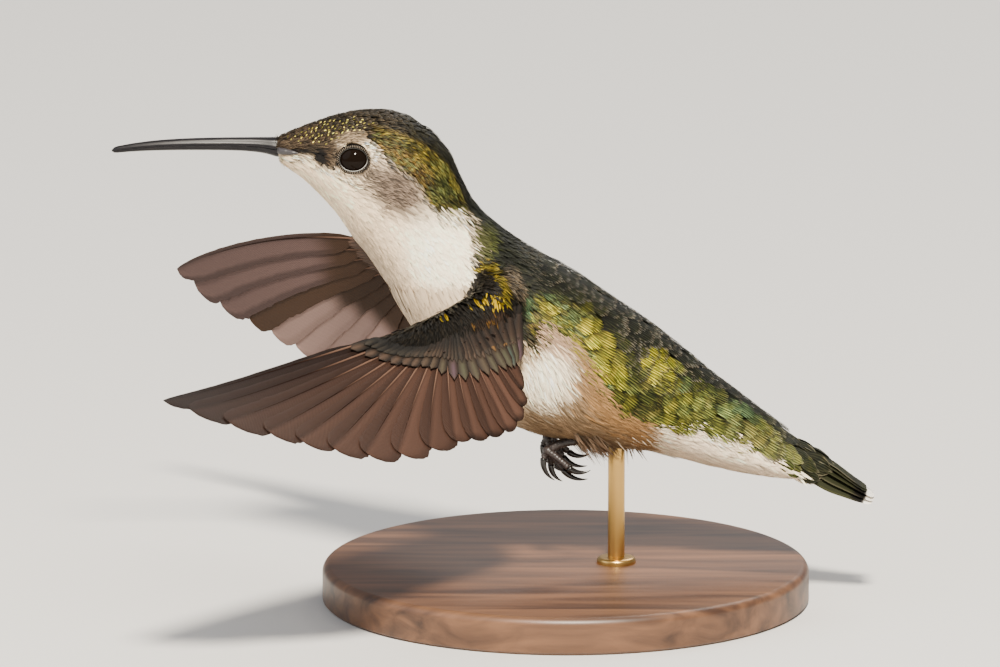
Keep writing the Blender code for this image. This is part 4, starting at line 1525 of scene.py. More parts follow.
def flight_shape(wing):
    """Places of all sixteen feathers, and millimetres across and along each one."""
    shafts, lead, outer, inner = feather_plan()
    row = VANE["row"]
    u = VANE["u"]
    column = np.rint((u + 1.0) * VANE_COLUMNS / 2.0).astype(int)
    ragged = 1.0 + 0.025 * rng.normal(0.0, 1.0, (len(TIPS), VANE_ROWS + 1, VANE_COLUMNS + 1))
    half = np.where(u < 0.0, outer[:, row], inner[:, row])
    across = -u * half * ragged[:, row, column]
    plan = shafts[:, row] + lead[:, row] * across[..., None]
    tilt = (-0.14 * u - 0.05 * u ** 2) * np.clip(half / 0.9, 0.0, 1.0)
    positions = wing_point(wing, plan[..., 0], plan[..., 1], tilt + 0.03 * VANE["height"])
    return positions, across, VANE_STEPS[row] * ROOT_LENGTHS[:, None]


# %% [markdown]
# Above, the feathers are dusky with darker edges and a painted streak of sheen beside the
# shaft. Below, they are mauve near the wing's tip and paler inward, with a painted shadow of the
# head and body over their roots, along the whole of one primary and all the secondaries.

# %% Colours of the flight feathers
FLIGHT = {
    "dusky": srgb(66, 46, 37),
    "dark": srgb(26, 16, 12),
    "mauve": srgb(89, 70, 66),
    "pale": srgb(144, 118, 109),
    "shade": srgb(54, 38, 27),
    "shaft": srgb(92, 70, 58),
}
# How far along each primary the painted shadow reaches on the lower side; 1.1 covers it all, as it does
# each secondary.
SHADE_REACH = (0.2, 0.25, 0.35, 1.1, 0.47, 0.45, 0.43, 0.5, 0.68, 1.1)
shaft_finish = tinted_material("feather_shaft", 0.8, 0.04)


def flight_paint(across):
    """Tint of every corner of the sixteen feathers, above and below."""
    u = VANE["u"][:, None]
    steps = VANE_STEPS[VANE["row"]][:, None]
    upper = VANE["level"][:, None] > 0
    order = np.arange(len(TIPS))[:, None, None]
    place = order / (len(TIPS) - 1)
    trailing = smooth(0.55, 1.0, u) + 0.6 * (u < 0)
    tipped = smooth(0.88, 0.99, steps) * smooth(0.5, 0.7, place)
    front = np.clip(np.maximum(trailing * (0.45 + 0.4 * place), tipped), 0.0, 0.9)
    top = mix(mix(FLIGHT["dusky"], FLIGHT["dark"], front), FLIGHT["dark"], np.exp(-place * 3.6))
    top = top * (0.72 + 0.28 * smooth(0.0, 0.3, place))
    # Painted shadow over the roots of the lower side, cast by the head and body.
    reach = np.interp(order, np.arange(PRIMARIES), SHADE_REACH)
    shaded = 1.0 - smooth(reach - 0.08, reach + 0.08, steps + 0.04 * u)
    inward = smooth(2.0, 4.5, order)
    low = mix(FLIGHT["mauve"], FLIGHT["pale"], inward)
    low = low * (1.0 - 0.45 * (trailing > 0.5) * (1.0 - 0.7 * inward))
    tint = np.where(upper, top, mix(low, FLIGHT["shade"], shaded))
    streak = np.exp(-(across / 0.28) ** 2)[..., None]
    # Painted sheen: a lighter streak beside the shaft on the upper side.
    painted_sheen = np.exp(-((across + 0.35) / 0.30) ** 2)[..., None]
    tint = tint * (1.0 - 0.35 * streak + 0.25 * painted_sheen * upper)
    return tint * (1.0 + 0.12 * rng.normal(0.0, 1.0, (len(TIPS), 1, 1)))


def weld(bm):
    """Join corners that meet, and close open ends."""
    bmesh.ops.remove_doubles(bm, verts=bm.verts, dist=0.000001)
    bmesh.ops.holes_fill(bm, edges=[edge for edge in bm.edges if edge.is_boundary], sides=0)


def tube_mesh(name, paths, radii, sides):
    """Round rods along paths, as (rods, points, 3), with their radii along them."""
    rows = paths.shape[1] - 1
    u, v, faces = net_parts(sides, rows)
    turn = ((u + 1.0) * math.pi)[None, :, None]
    row = np.rint(v * rows).astype(int)
    ahead = unit(np.gradient(paths, axis=1))
    sideways = np.abs(ahead[..., 1:2]) > 0.9
    across = unit(np.cross(ahead, np.where(sideways, (0.0, 0.0, 1.0), (0.0, 1.0, 0.0))))
    up = np.cross(across, ahead)
    ring = across[:, row] * np.cos(turn) + up[:, row] * np.sin(turn)
    radii = np.broadcast_to(radii, paths.shape[:2])[:, row, None]
    mesh = grid_mesh(name, paths[:, row] + ring * radii, faces)
    bm = bmesh.new()
    bm.from_mesh(mesh)
    weld(bm)
    bmesh.ops.recalc_face_normals(bm, faces=bm.faces)
    bm.to_mesh(mesh)
    bm.free()
    smooth_faces(mesh)
    return mesh


def make_flight(label, wing):
    positions, across, along = flight_shape(wing)
    tint = flight_paint(across)
    for part, some in (("primaries", slice(0, PRIMARIES)), ("secondaries", slice(PRIMARIES, None))):
        piece = vane_piece(part + "_" + label, positions[some], across[some], along[some],
                           tint[some], 0.03, "feathers_flight")
        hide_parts("wing_" + label + "_" + part)
    lines = shaft_line(np.arange(len(TIPS)), np.linspace(0.0, 0.9, 25))
    path = wing_point(wing, lines[..., 0], lines[..., 1], 0.0)
    mesh = tube_mesh("shafts_" + label, path, 0.12 * (1.0 - 0.8 * np.linspace(0.0, 1.0, 25)), 6)
    reach = np.linalg.norm(vertex_values(mesh, "co")[:, None] / MM - path[None, :, 0], axis=2).min(1)
    paint_vertices(mesh, mix(FLIGHT["shaft"], FLIGHT["dark"], smooth(1.5, 9.0, reach)[:, None]))
    add_piece("shafts_" + label, mesh, shaft_finish)


for label, wing in WINGS.items():
    make_flight(label, wing)

# %% [markdown]
# Coverts hide the roots of the long feathers. On the upper side a row of long ones has green
# and mauve glints, with a shorter row over them, and gold ones lie over the shoulder. On the
# lower side they are plain and grey.

# %% Rows of coverts
COVERT = {
    "dusky": srgb(54, 40, 30),
    "black": srgb(22, 18, 12),
    "sage": srgb(50, 50, 35),
    "teal": srgb(44, 54, 47),
    "mauve": srgb(58, 43, 48),
    "gold": srgb(160, 130, 18),
    "amber": srgb(88, 60, 24),
    "grey": srgb(74, 56, 46),
}


def covert_row(name, wing, face, places, behind, reach, wide, step, paints, shine, kind):
    """A row of feathers over one face of the wing, at feather places along the arm.

    They start behind the roots of the long feathers, and step is how far their tips stand off.
    """
    count = len(places)
    k = places + rng.normal(0.0, 0.06, count)
    along = heading_at(k)
    start = feather_root(k) - along * behind
    long = reach * rng.uniform(0.95, 1.05, count) * (0.62 + 0.38 * smooth(6.5, 10.5, k))
    curve = []
    normals = []
    for share, gap in ((0.0, 0.0), (0.5, 0.7), (1.0, 1.0)):
        s, c = (start + along * (long * share)[:, None]).T
        n = face * (np.maximum(arm_height(s, c) - 0.05, 0.16) + step * gap + 0.02)
        curve.append(wing_point(wing, s, c, n))
        normals.append(unit(wing_point(wing, s, c, face * 1.0) - wing_point(wing, s, c, 0.0)))
    tint, tip = paints(k, count)
    # The tip colour is laid on as a painted streak of sheen along the middle, near the tip.
    look = {"tint": tint, "rim": tip, "shade": 0.6, "shine": np.full(count, shine), "sheen": 0.4,
            "place": np.stack((0.1 + 0.05 * k, np.full(count, 0.5 + 0.1 * face)), 1)}
    plant(name, kind, curve, normals, wide * rng.uniform(0.9, 1.1, count), long, look,
          silk_finish, 0.10)


def mixed(first, second, weight):
    return mix(COVERT[first], COVERT[second], np.clip(weight, 0.0, 1.0)[:, None])


def greater_paint(k, count):
    """Dusky feathers whose tips shine sage or mauve towards the body."""
    dice = rng.random(count)
    inner = smooth(5.0, 10.0, k)
    dark = mixed("black", "dusky", 0.35 + 0.65 * inner) * rng.uniform(0.8, 1.1, (count, 1))
    tip = mixed("dusky", "sage", inner * rng.uniform(0.3, 1.0, count))
    tip[(dice > 0.7) & (k > 9.0)] = COVERT["teal"]
    tip[(dice < 0.2) & (k > 9.0)] = COVERT["mauve"]
    return dark, tip


def median_paint(k, count):
    """Nearly black feathers, a few with amber tips next to the body."""
    dice = rng.random(count)
    dark = mixed("black", "dusky", rng.uniform(0.1, 0.7, count) * smooth(3.0, 8.0, k))
    tip = dark * rng.uniform(1.0, 1.6, (count, 1))
    tip[(dice < 0.3) & (k > 11.5)] = COVERT["amber"]
    return dark, tip


def under_paint(k, count):
    grey = mixed("grey", "dusky", rng.uniform(0.0, 0.7, count))
    return grey, grey * 1.25


ROWS = (
    ("greater", 1, np.arange(0.4, 18.6, 1.0), 1.3, 5.2, 1.25, 0.14, greater_paint, 0.2, "blade"),
    ("median", 1, np.arange(0.4, 18.8, 0.5), 2.2, 3.9, 0.75, 0.24, median_paint, 0.15, "blade"),
    ("under", -1, np.arange(0.4, 18.4, 0.8), 1.3, 4.6, 1.4, 0.12, under_paint, 0.05, "fan"),
    ("under_short", -1, np.arange(0.4, 18.8, 0.5), 2.2, 3.2, 1.0, 0.2, under_paint, 0.05, "tuft"),
)
for label, wing in WINGS.items():
    for row_name, *row in ROWS:
        covert_row("coverts_" + row_name + "_" + label, wing, *row)


# %% [markdown]
# The arm itself wears small coverts all the way round. Sample points of the plan, put on the
# arm's surface, tell each root where on the wing it is and which way the feathers run there.

# %% Small coverts on the arm
def arm_guide(wing):
    """Sample points over the arm: s, c, face, place in the air, and the way feathers run."""
    s, c, face = (axis.ravel() for axis in np.meshgrid(
        np.arange(-2.0, 19.0, 0.4), np.arange(-1.6, 5.6, 0.3), (1.0, -1.0), indexing="ij"))
    height = arm_height(s, c)
    held = height > 0.02
    s, c, face, height = s[held], c[held], face[held], height[held]
    along = heading_at(np.clip((HAND_END - s) / ROOT_STEP, 0.0, 20.0))
    spots = wing_point(wing, s, c, face * height)
    ahead = wing_point(wing, s + along[:, 0] * 0.1, c + along[:, 1] * 0.1, face * height) - spots
    return s, c, face, spots, ahead


def near_arm(wing, guide):
    """Which triangles of the skin lie on the arm."""
    x, y, z = triangle_middles.T
    inside = (y * wing["side"] > 6.0) & (x < -1.0) & (z > 22.0)
    for i in np.flatnonzero(inside):
        inside[i] = guide.find(triangle_middles[i])[2] < 0.75
    return inside


def arm_paint(s, c, top):
    """Tint of each small covert, and which ones are gold: an arc and a streak by the shoulder."""
    count = len(s)
    dice = rng.random(count)
    tint = COVERT["black"] * (0.7 + 0.7 * rng.random((count, 1)))
    dusk = (1.0 - smooth(2.5, 6.5, s)) * smooth(1.6, 3.4, c)
    tint = mix(tint, COVERT["dusky"], dusk[:, None])
    ring = np.hypot(s - 0.6, c - 0.1)
    arc_band = (ring > 1.3) & (ring < 2.3) & (s < 1.6) & (s > -1.8)
    streak = (np.abs(c - 0.75) < np.where(s < 3.8, 0.5, 0.2)) & (s < 8.0) & (s > 0.3)
    gold = top & ((arc_band & (dice < 0.85)) | (streak & (dice < np.where(s < 3.8, 0.85, 0.3))))
    tint[gold] = COVERT["gold"] * rng.uniform(0.7, 1.5, (gold.sum(), 1))
    tint[top & ~gold & (c > 2.6) & (s < 5.5) & (s > 1.5) & (dice < 0.35)] = COVERT["amber"]
    tint[~top] = COVERT["grey"] * (0.7 + 0.4 * rng.random(((~top).sum(), 1)))
    return tint, gold


def arm_coverts(label, wing):
    s, c, face, spots, ahead = arm_guide(wing)
    guide = search_tree(spots)
    roots, normal = on_skin(scatter(near_arm(wing, guide), 0.27))
    match = np.array([guide.find(root)[1] for root in roots])
    kept = (face[match] < 0) | (c[match] < 3.9)
    roots, normal, match = roots[kept], normal[kept], match[kept]
    count = len(roots)
    lay = unit(ahead[match] - normal * np.sum(ahead[match] * normal, 1, keepdims=True))
    lay = unit(lay + np.cross(normal, lay) * rng.normal(0.0, 0.12, count)[:, None])
    long = 1.35 * rng.uniform(0.85, 1.15, count)
    curve = (
        roots + normal * 0.02,
        roots + lay * (long * 0.5)[:, None] + normal * 0.08,
        roots + lay * long[:, None] + normal * 0.10)
    tint, gold = arm_paint(s[match], c[match], face[match] > 0)
    look = {"tint": tint, "rim": tint * 1.15, "shine": np.where(gold, 0.5, 0.12),
            "place": unwrap(roots), "shade": 0.4}
    plant("coverts_arm_" + label, "silk", curve, (normal, normal, normal),
          0.34 * rng.uniform(0.85, 1.15, count), long, look, scale_finish)


for label, wing in WINGS.items():
    arm_coverts(label, wing)

# %% [markdown]
# The closed tail is ten feathers stacked like a hand of cards, the middle pair on top. The
# outer three on each side end in white behind a black band, as in every female. First come
# the long coverts with a thin pale rim that lie over its root.

# %% Tail coverts
TAIL_ROOT = np.array((25.6, 0.0, 14.95))
TAIL_TIP = np.array((33.0, 0.0, 11.5))
TAIL_ALONG = unit(TAIL_TIP - TAIL_ROOT)
TAIL_UP = np.array((-TAIL_ALONG[2], 0.0, TAIL_ALONG[0]))
COVERT_STARTS = ((-5.2, (-22, 22)), (-3.4, (-40, 0, 40)), (-1.6, (-62, -20, 20, 62)))
COVERT_LONG = 4.6


def round_tail(place, angle):
    """A place this far along the tail and this far round it, 0 on top."""
    share = min(max(place / 7.4, 0.0), 1.0)
    rise = (1.75 - 1.15 * share) * math.cos(angle) - 0.15
    across = np.array((0.0, (2.1 - 1.1 * share) * math.sin(angle), 0.0))
    return TAIL_ROOT + TAIL_ALONG * place + TAIL_UP * rise + across


def tail_coverts():
    starts = [(start, math.radians(turn)) for start, turns in COVERT_STARTS for turn in turns]
    count = len(starts)
    roots = np.array([round_tail(start, angle) for start, angle in starts])
    tips = np.array([round_tail(start + COVERT_LONG, angle) for start, angle in starts])
    normals = np.array([TAIL_UP * math.cos(angle) + np.array((0.0, math.sin(angle), 0.0))
                        for start, angle in starts])
    curve = (roots, (roots + tips) / 2.0 + normals * 0.15, tips)
    look = {"tint": ground("tail", count), "rim": ground("tail_rim", count),
            "shine": np.full(count, 0.25), "place": unwrap(roots), "shade": 0.4}
    plant("coverts_tail", "scale", curve, (normals, normals, normals), np.full(count, 2.5),
          np.full(count, COVERT_LONG), look, scale_finish, 0.10)


tail_coverts()

# %% [markdown]
# Seen in section, the folded tail is a low roof. Each pair of feathers lies lower than the
# one before and leans over more, so the two-sheet vanes need only a place and a tilt by rank.

# %% Tail feathers
# The arrays have one value for each rank, 0 for the middle pair and 4 for the outermost.
TAIL = {"green": srgb(38, 40, 24), "black": srgb(16, 14, 11), "white": srgb(240, 234, 224),
        "edge": srgb(98, 98, 52), "fringe": srgb(120, 112, 90)}
TAIL_SHORT = np.array((1.15, 1.05, 0.12, 0.0, 0.08))
TAIL_TILT = np.array((0.1, 0.3, 0.6, 0.95, 1.15))
TAIL_DROP = np.array((0.0, 0.1, 0.35, 0.8, 1.45))
TAIL_FRINGE = np.array((0.8, 0.15, 0.1, 0.3, 0.9))
TAIL_HALF = 0.95
TAIL_PLACES = (0.0, 0.45, 0.8, 1.0)
TAIL_ROOF = (1.6, 1.15, 0.55, 0.3)
TAIL_DEPTH = (1.2, 1.0, 0.66, 0.45)
ORDER = np.arange(10)[:, None]
RANK = (np.abs(ORDER - 4.5) - 0.5).astype(int)
SIGN = np.where(ORDER < 5, -1.0, 1.0)


def tail_shape():
    """Places of the ten feathers, and millimetres across and along each one."""
    u = VANE["u"]
    t = VANE_STEPS[VANE["row"]]
    reach = np.linalg.norm(TAIL_TIP - TAIL_ROOT) - TAIL_SHORT[RANK]
    half = TAIL_HALF * (0.6 + 0.4 * smooth(0.0, 0.4, t)) * tip_taper(t, 0.07)
    tilt = TAIL_TILT[RANK]
    middle = mix(SIGN * (0.45 + 0.36 * RANK), SIGN * (0.62 + 0.28 * RANK), t)
    roof = np.interp(t, TAIL_PLACES, TAIL_ROOF)
    depth = np.interp(t, TAIL_PLACES, TAIL_DEPTH)
    drop = TAIL_DROP[RANK] + tilt * (u * SIGN * half / TAIL_HALF + 1.0) / 2.0
    lift = roof - depth * drop + 0.03 * VANE["height"]
    positions = TAIL_ROOT + TAIL_ALONG * (reach * t)[..., None] + TAIL_UP * lift[..., None]
    positions[..., 1] += middle + u * half * np.sqrt(1.0 - (0.75 * tilt) ** 2)
    return positions, np.broadcast_to(u * half, lift.shape), t * reach


def tail_paint():
    """Tint of every corner: green, then a black band, pale fringes and white tips."""
    t = VANE_STEPS[VANE["row"]][:, None]
    rank = RANK[:, :, None]
    outward = VANE["u"][:, None] * SIGN[:, :, None]
    outer = rank > 1
    outermost = rank > 3
    band = smooth(0.66, 0.74, t) * (1.0 - smooth(0.88, 0.91, t)) * np.where(outer, 1.0, 0.5)
    fringe = smooth(0.78, 0.95, outward) * (1.0 - smooth(0.7, 0.85, t)) * TAIL_FRINGE[rank]
    tint = mix(TAIL["green"], TAIL["black"], band)
    tint = mix(tint, np.where(outermost, TAIL["edge"], TAIL["fringe"]), fringe)
    tint = mix(tint, TAIL["black"], outermost * smooth(0.90, 0.99, outward))
    return mix(tint, TAIL["white"], smooth(0.87, 0.90, t) * outer)


piece = vane_piece("tail_feathers", *tail_shape(), tail_paint(), 0.15, "feathers_tail")
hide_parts("tail")

# %% [markdown]
# ## Bill, eyes, legs and stand
#
# A net of squares is bent into most of these, as the feathers were. Horn and wood both show
# a stretched grain, so they share one recipe for their material.

# %% Bent nets
SIDES = (("left", -1.0), ("right", 1.0))


def net_mesh(name, columns, rows, place, wrap=False):
    """A net with u and v from 0 to 1, each corner put where place(u, v) says, in mm."""
    bm = bmesh.new()
    bmesh.ops.create_grid(bm, x_segments=columns, y_segments=rows, size=1.0)
    for vertex in bm.verts:
        vertex.co = Vector(place((vertex.co.x + 1.0) / 2.0, (vertex.co.y + 1.0) / 2.0)) * MM
    if wrap:
        weld(bm)
    bmesh.ops.recalc_face_normals(bm, faces=bm.faces)
    return finished(bm, name)


def grained_material(name, roughness, specular, stretch, tones, strength, depth, **grain):
    """Two tones in a stretched noise, with its relief, for horn and wood."""
    material, nodes, shader = new_material(name, roughness, specular)
    place = nodes.new("ShaderNodeTexCoord")
    mapping = shader_node(nodes, "Mapping", Scale=stretch)
    noise = shader_node(nodes, "TexNoise", **grain)
    ramp = two_tone(nodes, *tones)
    bump = shader_node(nodes, "Bump", Strength=strength, Distance=depth)
    wire(material, (
        (place.outputs["Object"], mapping.inputs["Vector"]),
        (mapping.outputs["Vector"], noise.inputs["Vector"]),
        (noise.outputs["Fac"], ramp.inputs["Fac"]),
        (ramp.outputs["Color"], shader.inputs["Base Color"]),
        (noise.outputs["Fac"], bump.inputs["Height"]),
        (bump.outputs["Normal"], shader.inputs["Normal"]),
    ))
    return material


# %% [markdown]
# The bill is two long half-round mandibles of dark horn, the upper one grooved along its side.
# It could be turned on an axis, but then it would have no groove and no flat cutting edges.

# %% Bill
BILL_X = -31.15
BILL_Z = 50.28
BILL_LENGTH = 17.04
BILL_SPLIT = 0.57
BILL_HIDDEN = 0.06
UPPER_TURN = (0.0, 0.12, 0.22, 0.42, 0.50, 0.57, 0.72, 0.88, 1.0)
UPPER_Y = (1.0, 0.985, 0.94, 0.74, 0.66, 0.61, 0.43, 0.19, 0.0)
UPPER_Z = (0.0, 0.16, 0.28, 0.56, 0.64, 0.72, 0.88, 0.97, 1.0)


def bill_depth(u):
    return 0.58 + 0.74 * (1.0 - max(u, 0.0) ** 3) + 0.75 * math.exp(-max(u, 0.0) / 0.1)


def bill_section(u, angle, upper):
    """Point of a mandible, angle 0 to pi over its outer side and on to 2 pi across its flat."""
    closing = math.sqrt(max(1.0 - (max(u - 0.965, 0.0) / 0.035) ** 2, 0.0))
    depth = bill_depth(u) * (0.15 + 0.85 * closing)
    top = BILL_Z - 0.12 * u - 1.02 * max(u, 0.0) ** 4 - bill_depth(u) * 0.45 * (1.0 - closing)
    split = top - BILL_SPLIT * depth
    half = 0.46 * depth * (1.0 if upper else 0.93)
    y = half * math.cos(angle)
    if angle > math.pi:
        z = split + (1.0 if upper else -1.0) * (0.03 + 0.06 * math.sin(angle))
    elif upper:
        turn = 1.0 - abs(2.0 * angle / math.pi - 1.0)
        fade = 1.0 - min(max(u - 0.25, 0.0) / 0.35, 1.0)
        groove = 0.16 * math.exp(-((turn - 0.5) / 0.05) ** 2) * fade
        y = half * float(np.interp(turn, UPPER_TURN, UPPER_Y)) * (1.0 - groove)
        y = y if angle < math.pi / 2.0 else -y
        z = split + 0.03 + BILL_SPLIT * depth * float(np.interp(turn, UPPER_TURN, UPPER_Z))
    else:
        z = split - 0.03 - (1.0 - BILL_SPLIT) * depth * math.sin(angle)
    x = BILL_X + (BILL_Z - z) * 0.185 * (1.0 - u) - BILL_LENGTH * u
    return x, y, z


# The darker tone of the horn is a little blue, a painted tinge of reflection on its gloss.
horn = grained_material(
    "bill_horn", 0.27, 0.22, (120.0, 2400.0, 2400.0), (0.3, srgb(12, 13, 17), 0.75, srgb(32, 29, 31)),
    0.25, 0.00002, Detail=4.0)
for part in ("upper", "lower"):
    mesh = net_mesh("bill_" + part + "_horn", 36, 60, lambda a, b: bill_section(
        (1.0 + BILL_HIDDEN) * b - BILL_HIDDEN, a * 2.0 * math.pi, part == "upper"), True)
    add_piece("bill_" + part + "_horn", mesh, horn, ("bill_" + part,))
print("bill", BILL_LENGTH, "mm long")

# %% [markdown]
# A flap of softer horn covers each nostril. It is a teardrop laid along the side of the face,
# so it asks the skin how wide the face is there.

# %% Nostril flaps
flap_finish = plain_material("nostril_skin", srgb(50, 47, 49), 0.4)


def flap_point(side, a, b):
    """A corner of the flap, a round it and b along it."""
    turn = a * 2.0 * math.pi
    swell = math.sin(math.pi * min(b, 0.999) ** 0.8) ** 0.7
    x = -31.5 + 3.2 * b
    z = 49.1 - 0.12 * b
    other_side = 9.0 * (skin_points[:, 1] * side < 0.0)
    off = np.hypot(skin_points[:, 0] - x, skin_points[:, 2] - z) + other_side
    half = abs(skin_points[np.argmin(off), 1])
    y = side * (half + 0.08 + 0.42 * swell * math.cos(turn))
    return x, y, z + 0.37 * swell * math.sin(turn)


for label, side in SIDES:
    mesh = net_mesh("nostril_flap", 16, 20, lambda a, b: flap_point(side, a, b), True)
    add_piece("nostril_flap_" + label, mesh, flap_finish)

# %% [markdown]
# The eye is a smooth dark ball. Its lids are a ring of bare skin that hugs it, with small
# bead-like scales round the outside, pale as painted highlights, and a pale painted reflection
# along the moist edge at the back.

# %% Eyes
LID_WIDE = 1.46
LID_TALL = 1.2
LID_REACH = 2.06
BEADS = ((0.16, 46, 0.05), (0.27, 48, 0.055))
eye_finish = plain_material("eye_dark", srgb(17, 11, 7), 0.05, 0.0, 0.07)
lid_finish = tinted_material("lid_skin", 0.75, 0.04)
# The beads are pale as painted highlights on small dark scales.
bead_finish = plain_material("lid_beads", srgb(128, 116, 102), 0.5)


def opening(turn):
    """Distance from the gaze to the edge of the lids, this far round the eye."""
    return 1.0 / np.hypot(np.cos(turn) / LID_WIDE, np.sin(turn) / LID_TALL)


def eye_axes(side):
    """The way the eye looks, and the ways back and up across its face."""
    axis = gaze(side)
    right = unit(np.array((1.0, 0.0, 0.0)) - axis * axis[0])
    up = np.cross(axis, right)
    return axis, right, up if up[2] > 0 else -up


def ball_point(axes, turn, angle, reach):
    """A place round the eye, turn round its gaze, angle off it and reach from the middle."""
    axis, right, up = axes
    ring = right * math.cos(turn) + up * math.sin(turn)
    return (axis * math.cos(angle) + ring * math.sin(angle)) * reach


def lid_point(axes, a, b):
    """A corner of the lids, a round the eye and b from their edge outwards."""
    turn = a * 2.0 * math.pi
    gap = opening(turn)
    start = math.asin(gap / LID_REACH)
    angle = start + (math.asin(min((gap + 0.5) / LID_REACH, 0.99)) - start) * b
    roll = 0.05 * math.sin(math.pi * min(b / 0.16, 1.0))
    wrinkle = 0.018 * math.cos(b * 30.0) * (1.0 - b)
    reach = LID_REACH - 0.03 + 0.05 * min(b / 0.1, 1.0) + roll + wrinkle - 0.3 * max(b - 0.7, 0.0)
    return ball_point(axes, turn, angle, reach)


def lid_mesh(name, centre, axes):
    axis, right, up = axes
    mesh = net_mesh(name, 64, 16, lambda a, b: centre + lid_point(axes, a, b))
    points = vertex_values(mesh, "co") / MM - centre
    away = points - axis * (points @ axis)[:, None]
    turn = np.arctan2(away @ up, away @ right)
    past = np.linalg.norm(away, axis=1) - opening(turn)
    # Painted reflection: a pale line along the edge of the lids, mostly behind and below.
    edge_reflection = (1.0 - smooth(0.01, 0.055, past)) * (0.10 + 0.9 * smooth(0.1, 0.6, np.cos(turn + 1.4)))
    paint_vertices(mesh, mix(srgb(13, 11, 9), srgb(200, 198, 192), edge_reflection[:, None]))
    return mesh


def bead_mesh(name, centre, axes):
    bm = bmesh.new()
    for ring_number, (spread, count, size) in enumerate(BEADS):
        for i in range(count):
            turn = 2.0 * math.pi * (i + 0.5 * ring_number) / count
            angle = math.asin(min((opening(turn) + spread) / (LID_REACH + 0.06), 0.999))
            spot = Vector(centre + ball_point(axes, turn, angle, LID_REACH + 0.05)) * MM
            bmesh.ops.create_icosphere(
                bm, subdivisions=1, radius=size * MM, matrix=Matrix.Translation(spot))
    return finished(bm, name)


def make_eye(label, side):
    low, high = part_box("eye_" + label)
    centre = np.array((low + high) / 2.0) / MM
    radius = (high.x - low.x) / 2.0 / MM
    bm = bmesh.new()
    bmesh.ops.create_uvsphere(bm, u_segments=48, v_segments=32, radius=radius * 0.995 * MM)
    bmesh.ops.translate(bm, verts=bm.verts, vec=Vector(centre) * MM)
    add_piece("eyeball_" + label, finished(bm, "eyeball_" + label), eye_finish,
              ("eye_" + label,))
    axes = eye_axes(side)
    add_piece("lid_" + label, lid_mesh("lid_" + label, centre, axes), lid_finish)
    add_piece("lid_beads_" + label, bead_mesh("lid_beads_" + label, centre, axes),
              bead_finish)
    print(label, "eye of", round(2.0 * radius, 2), "mm")


for label, side in SIDES:
    make_eye(label, side)

# %% [markdown]
# Legs and feet are dark, scaly and shiny. Rings of scutes run down the front of the tarsus
# and each toe, made by letting the radius swell and shrink. Claws are curved hooks that taper
# to a point.

# %% Legs, feet and claws
LEG_Y = 3.2
FOOT = (-1.9, 16.95)
ANKLE = (1.0, 18.0)
KNEE = (2.4, 19.2)
SCUTE = 0.34
ROD_SIDES = 14
# Each toe gives its splay, heading, turn and length, then its claw's heading, turn and length.
TOES = (
    (-0.85, -34.0, -8.0, 2.8, -44.0, 74.0, 2.4),
    (0.0, -50.0, -4.0, 2.6, -58.0, 70.0, 2.9),
    (0.85, -74.0, -10.0, 1.7, -96.0, 76.0, 2.3),
    (-0.1, -128.0, 12.0, 0.95, -104.0, 78.0, 2.8),
)
BONES = 4
TOE_STEPS = 8 * BONES


def foot_skin():
    """Small dark scales from a net of cells, with their relief."""
    material, nodes, shader = new_material("foot_skin", 0.42)
    place = nodes.new("ShaderNodeTexCoord")
    cells = shader_node(nodes, "TexVoronoi", Scale=5200.0)
    ramp = two_tone(nodes, 0.0, srgb(52, 42, 39), 1.0, srgb(22, 17, 16))
    bump = shader_node(nodes, "Bump", Strength=0.5, Distance=0.00004)
    bump.invert = True
    wire(material, (
        (place.outputs["Object"], cells.inputs["Vector"]),
        (cells.outputs["Distance"], ramp.inputs["Fac"]),
        (ramp.outputs["Color"], shader.inputs["Base Color"]),
        (cells.outputs["Distance"], bump.inputs["Height"]),
        (bump.outputs["Normal"], shader.inputs["Normal"]),
    ))
    return material


def curl(start, heading, turn, length, steps):
    """A line that starts at an angle in the plane of the body's middle and turns evenly."""
    angle = np.radians(heading + turn * (np.arange(steps) + 0.5) / steps)
    step = np.stack((np.cos(angle), np.zeros(steps), np.sin(angle)), 1) * length / steps
    return np.concatenate((start[None], start + np.cumsum(step, 0)))


def scutes(steps, length, radius, taper):
    """Radii of a scaly toe or tarsus."""
    t = np.linspace(0.0, 1.0, steps + 1)
    rings = 1.0 + 0.11 * np.abs(np.sin(math.pi * t * length / SCUTE)) - 0.09
    close = np.sqrt(np.clip(1.0 - ((t - 0.93) / 0.07).clip(0.0, 1.0) ** 2, 0.02, 1.0))
    return radius * (1.0 - taper * t) * rings * close


def rod(name, path, radii):
    return tube_mesh(name, path[None], radii[None], ROD_SIDES)


def join_meshes(name, meshes):
    bm = bmesh.new()
    for mesh in meshes:
        bm.from_mesh(mesh)
    return finished(bm, name)


def leg_mesh(name, knee, ankle, foot):
    t = np.linspace(0.0, 1.0, 25)[:, None]
    tarsus = mix(ankle, foot, t) + np.array((0.0, 0.0, 0.28)) * np.sin(math.pi * t)
    length = np.linalg.norm(foot - ankle)
    leg = rod("tarsus", tarsus, scutes(24, length, 0.54, 0.1))
    shin = rod("shin", mix(knee, ankle, np.linspace(0.0, 1.0, 9)[:, None]), np.linspace(1.1, 0.5, 9))
    return join_meshes(name, (leg, shin))


def foot_pad(foot):
    bm = bmesh.new()
    bmesh.ops.create_uvsphere(bm, u_segments=20, v_segments=14, radius=0.6 * MM)
    bmesh.ops.scale(bm, verts=bm.verts, vec=(1.0, 1.15, 0.95))
    bmesh.ops.translate(bm, verts=bm.verts, vec=Vector(foot) * MM)
    return finished(bm, "pad")


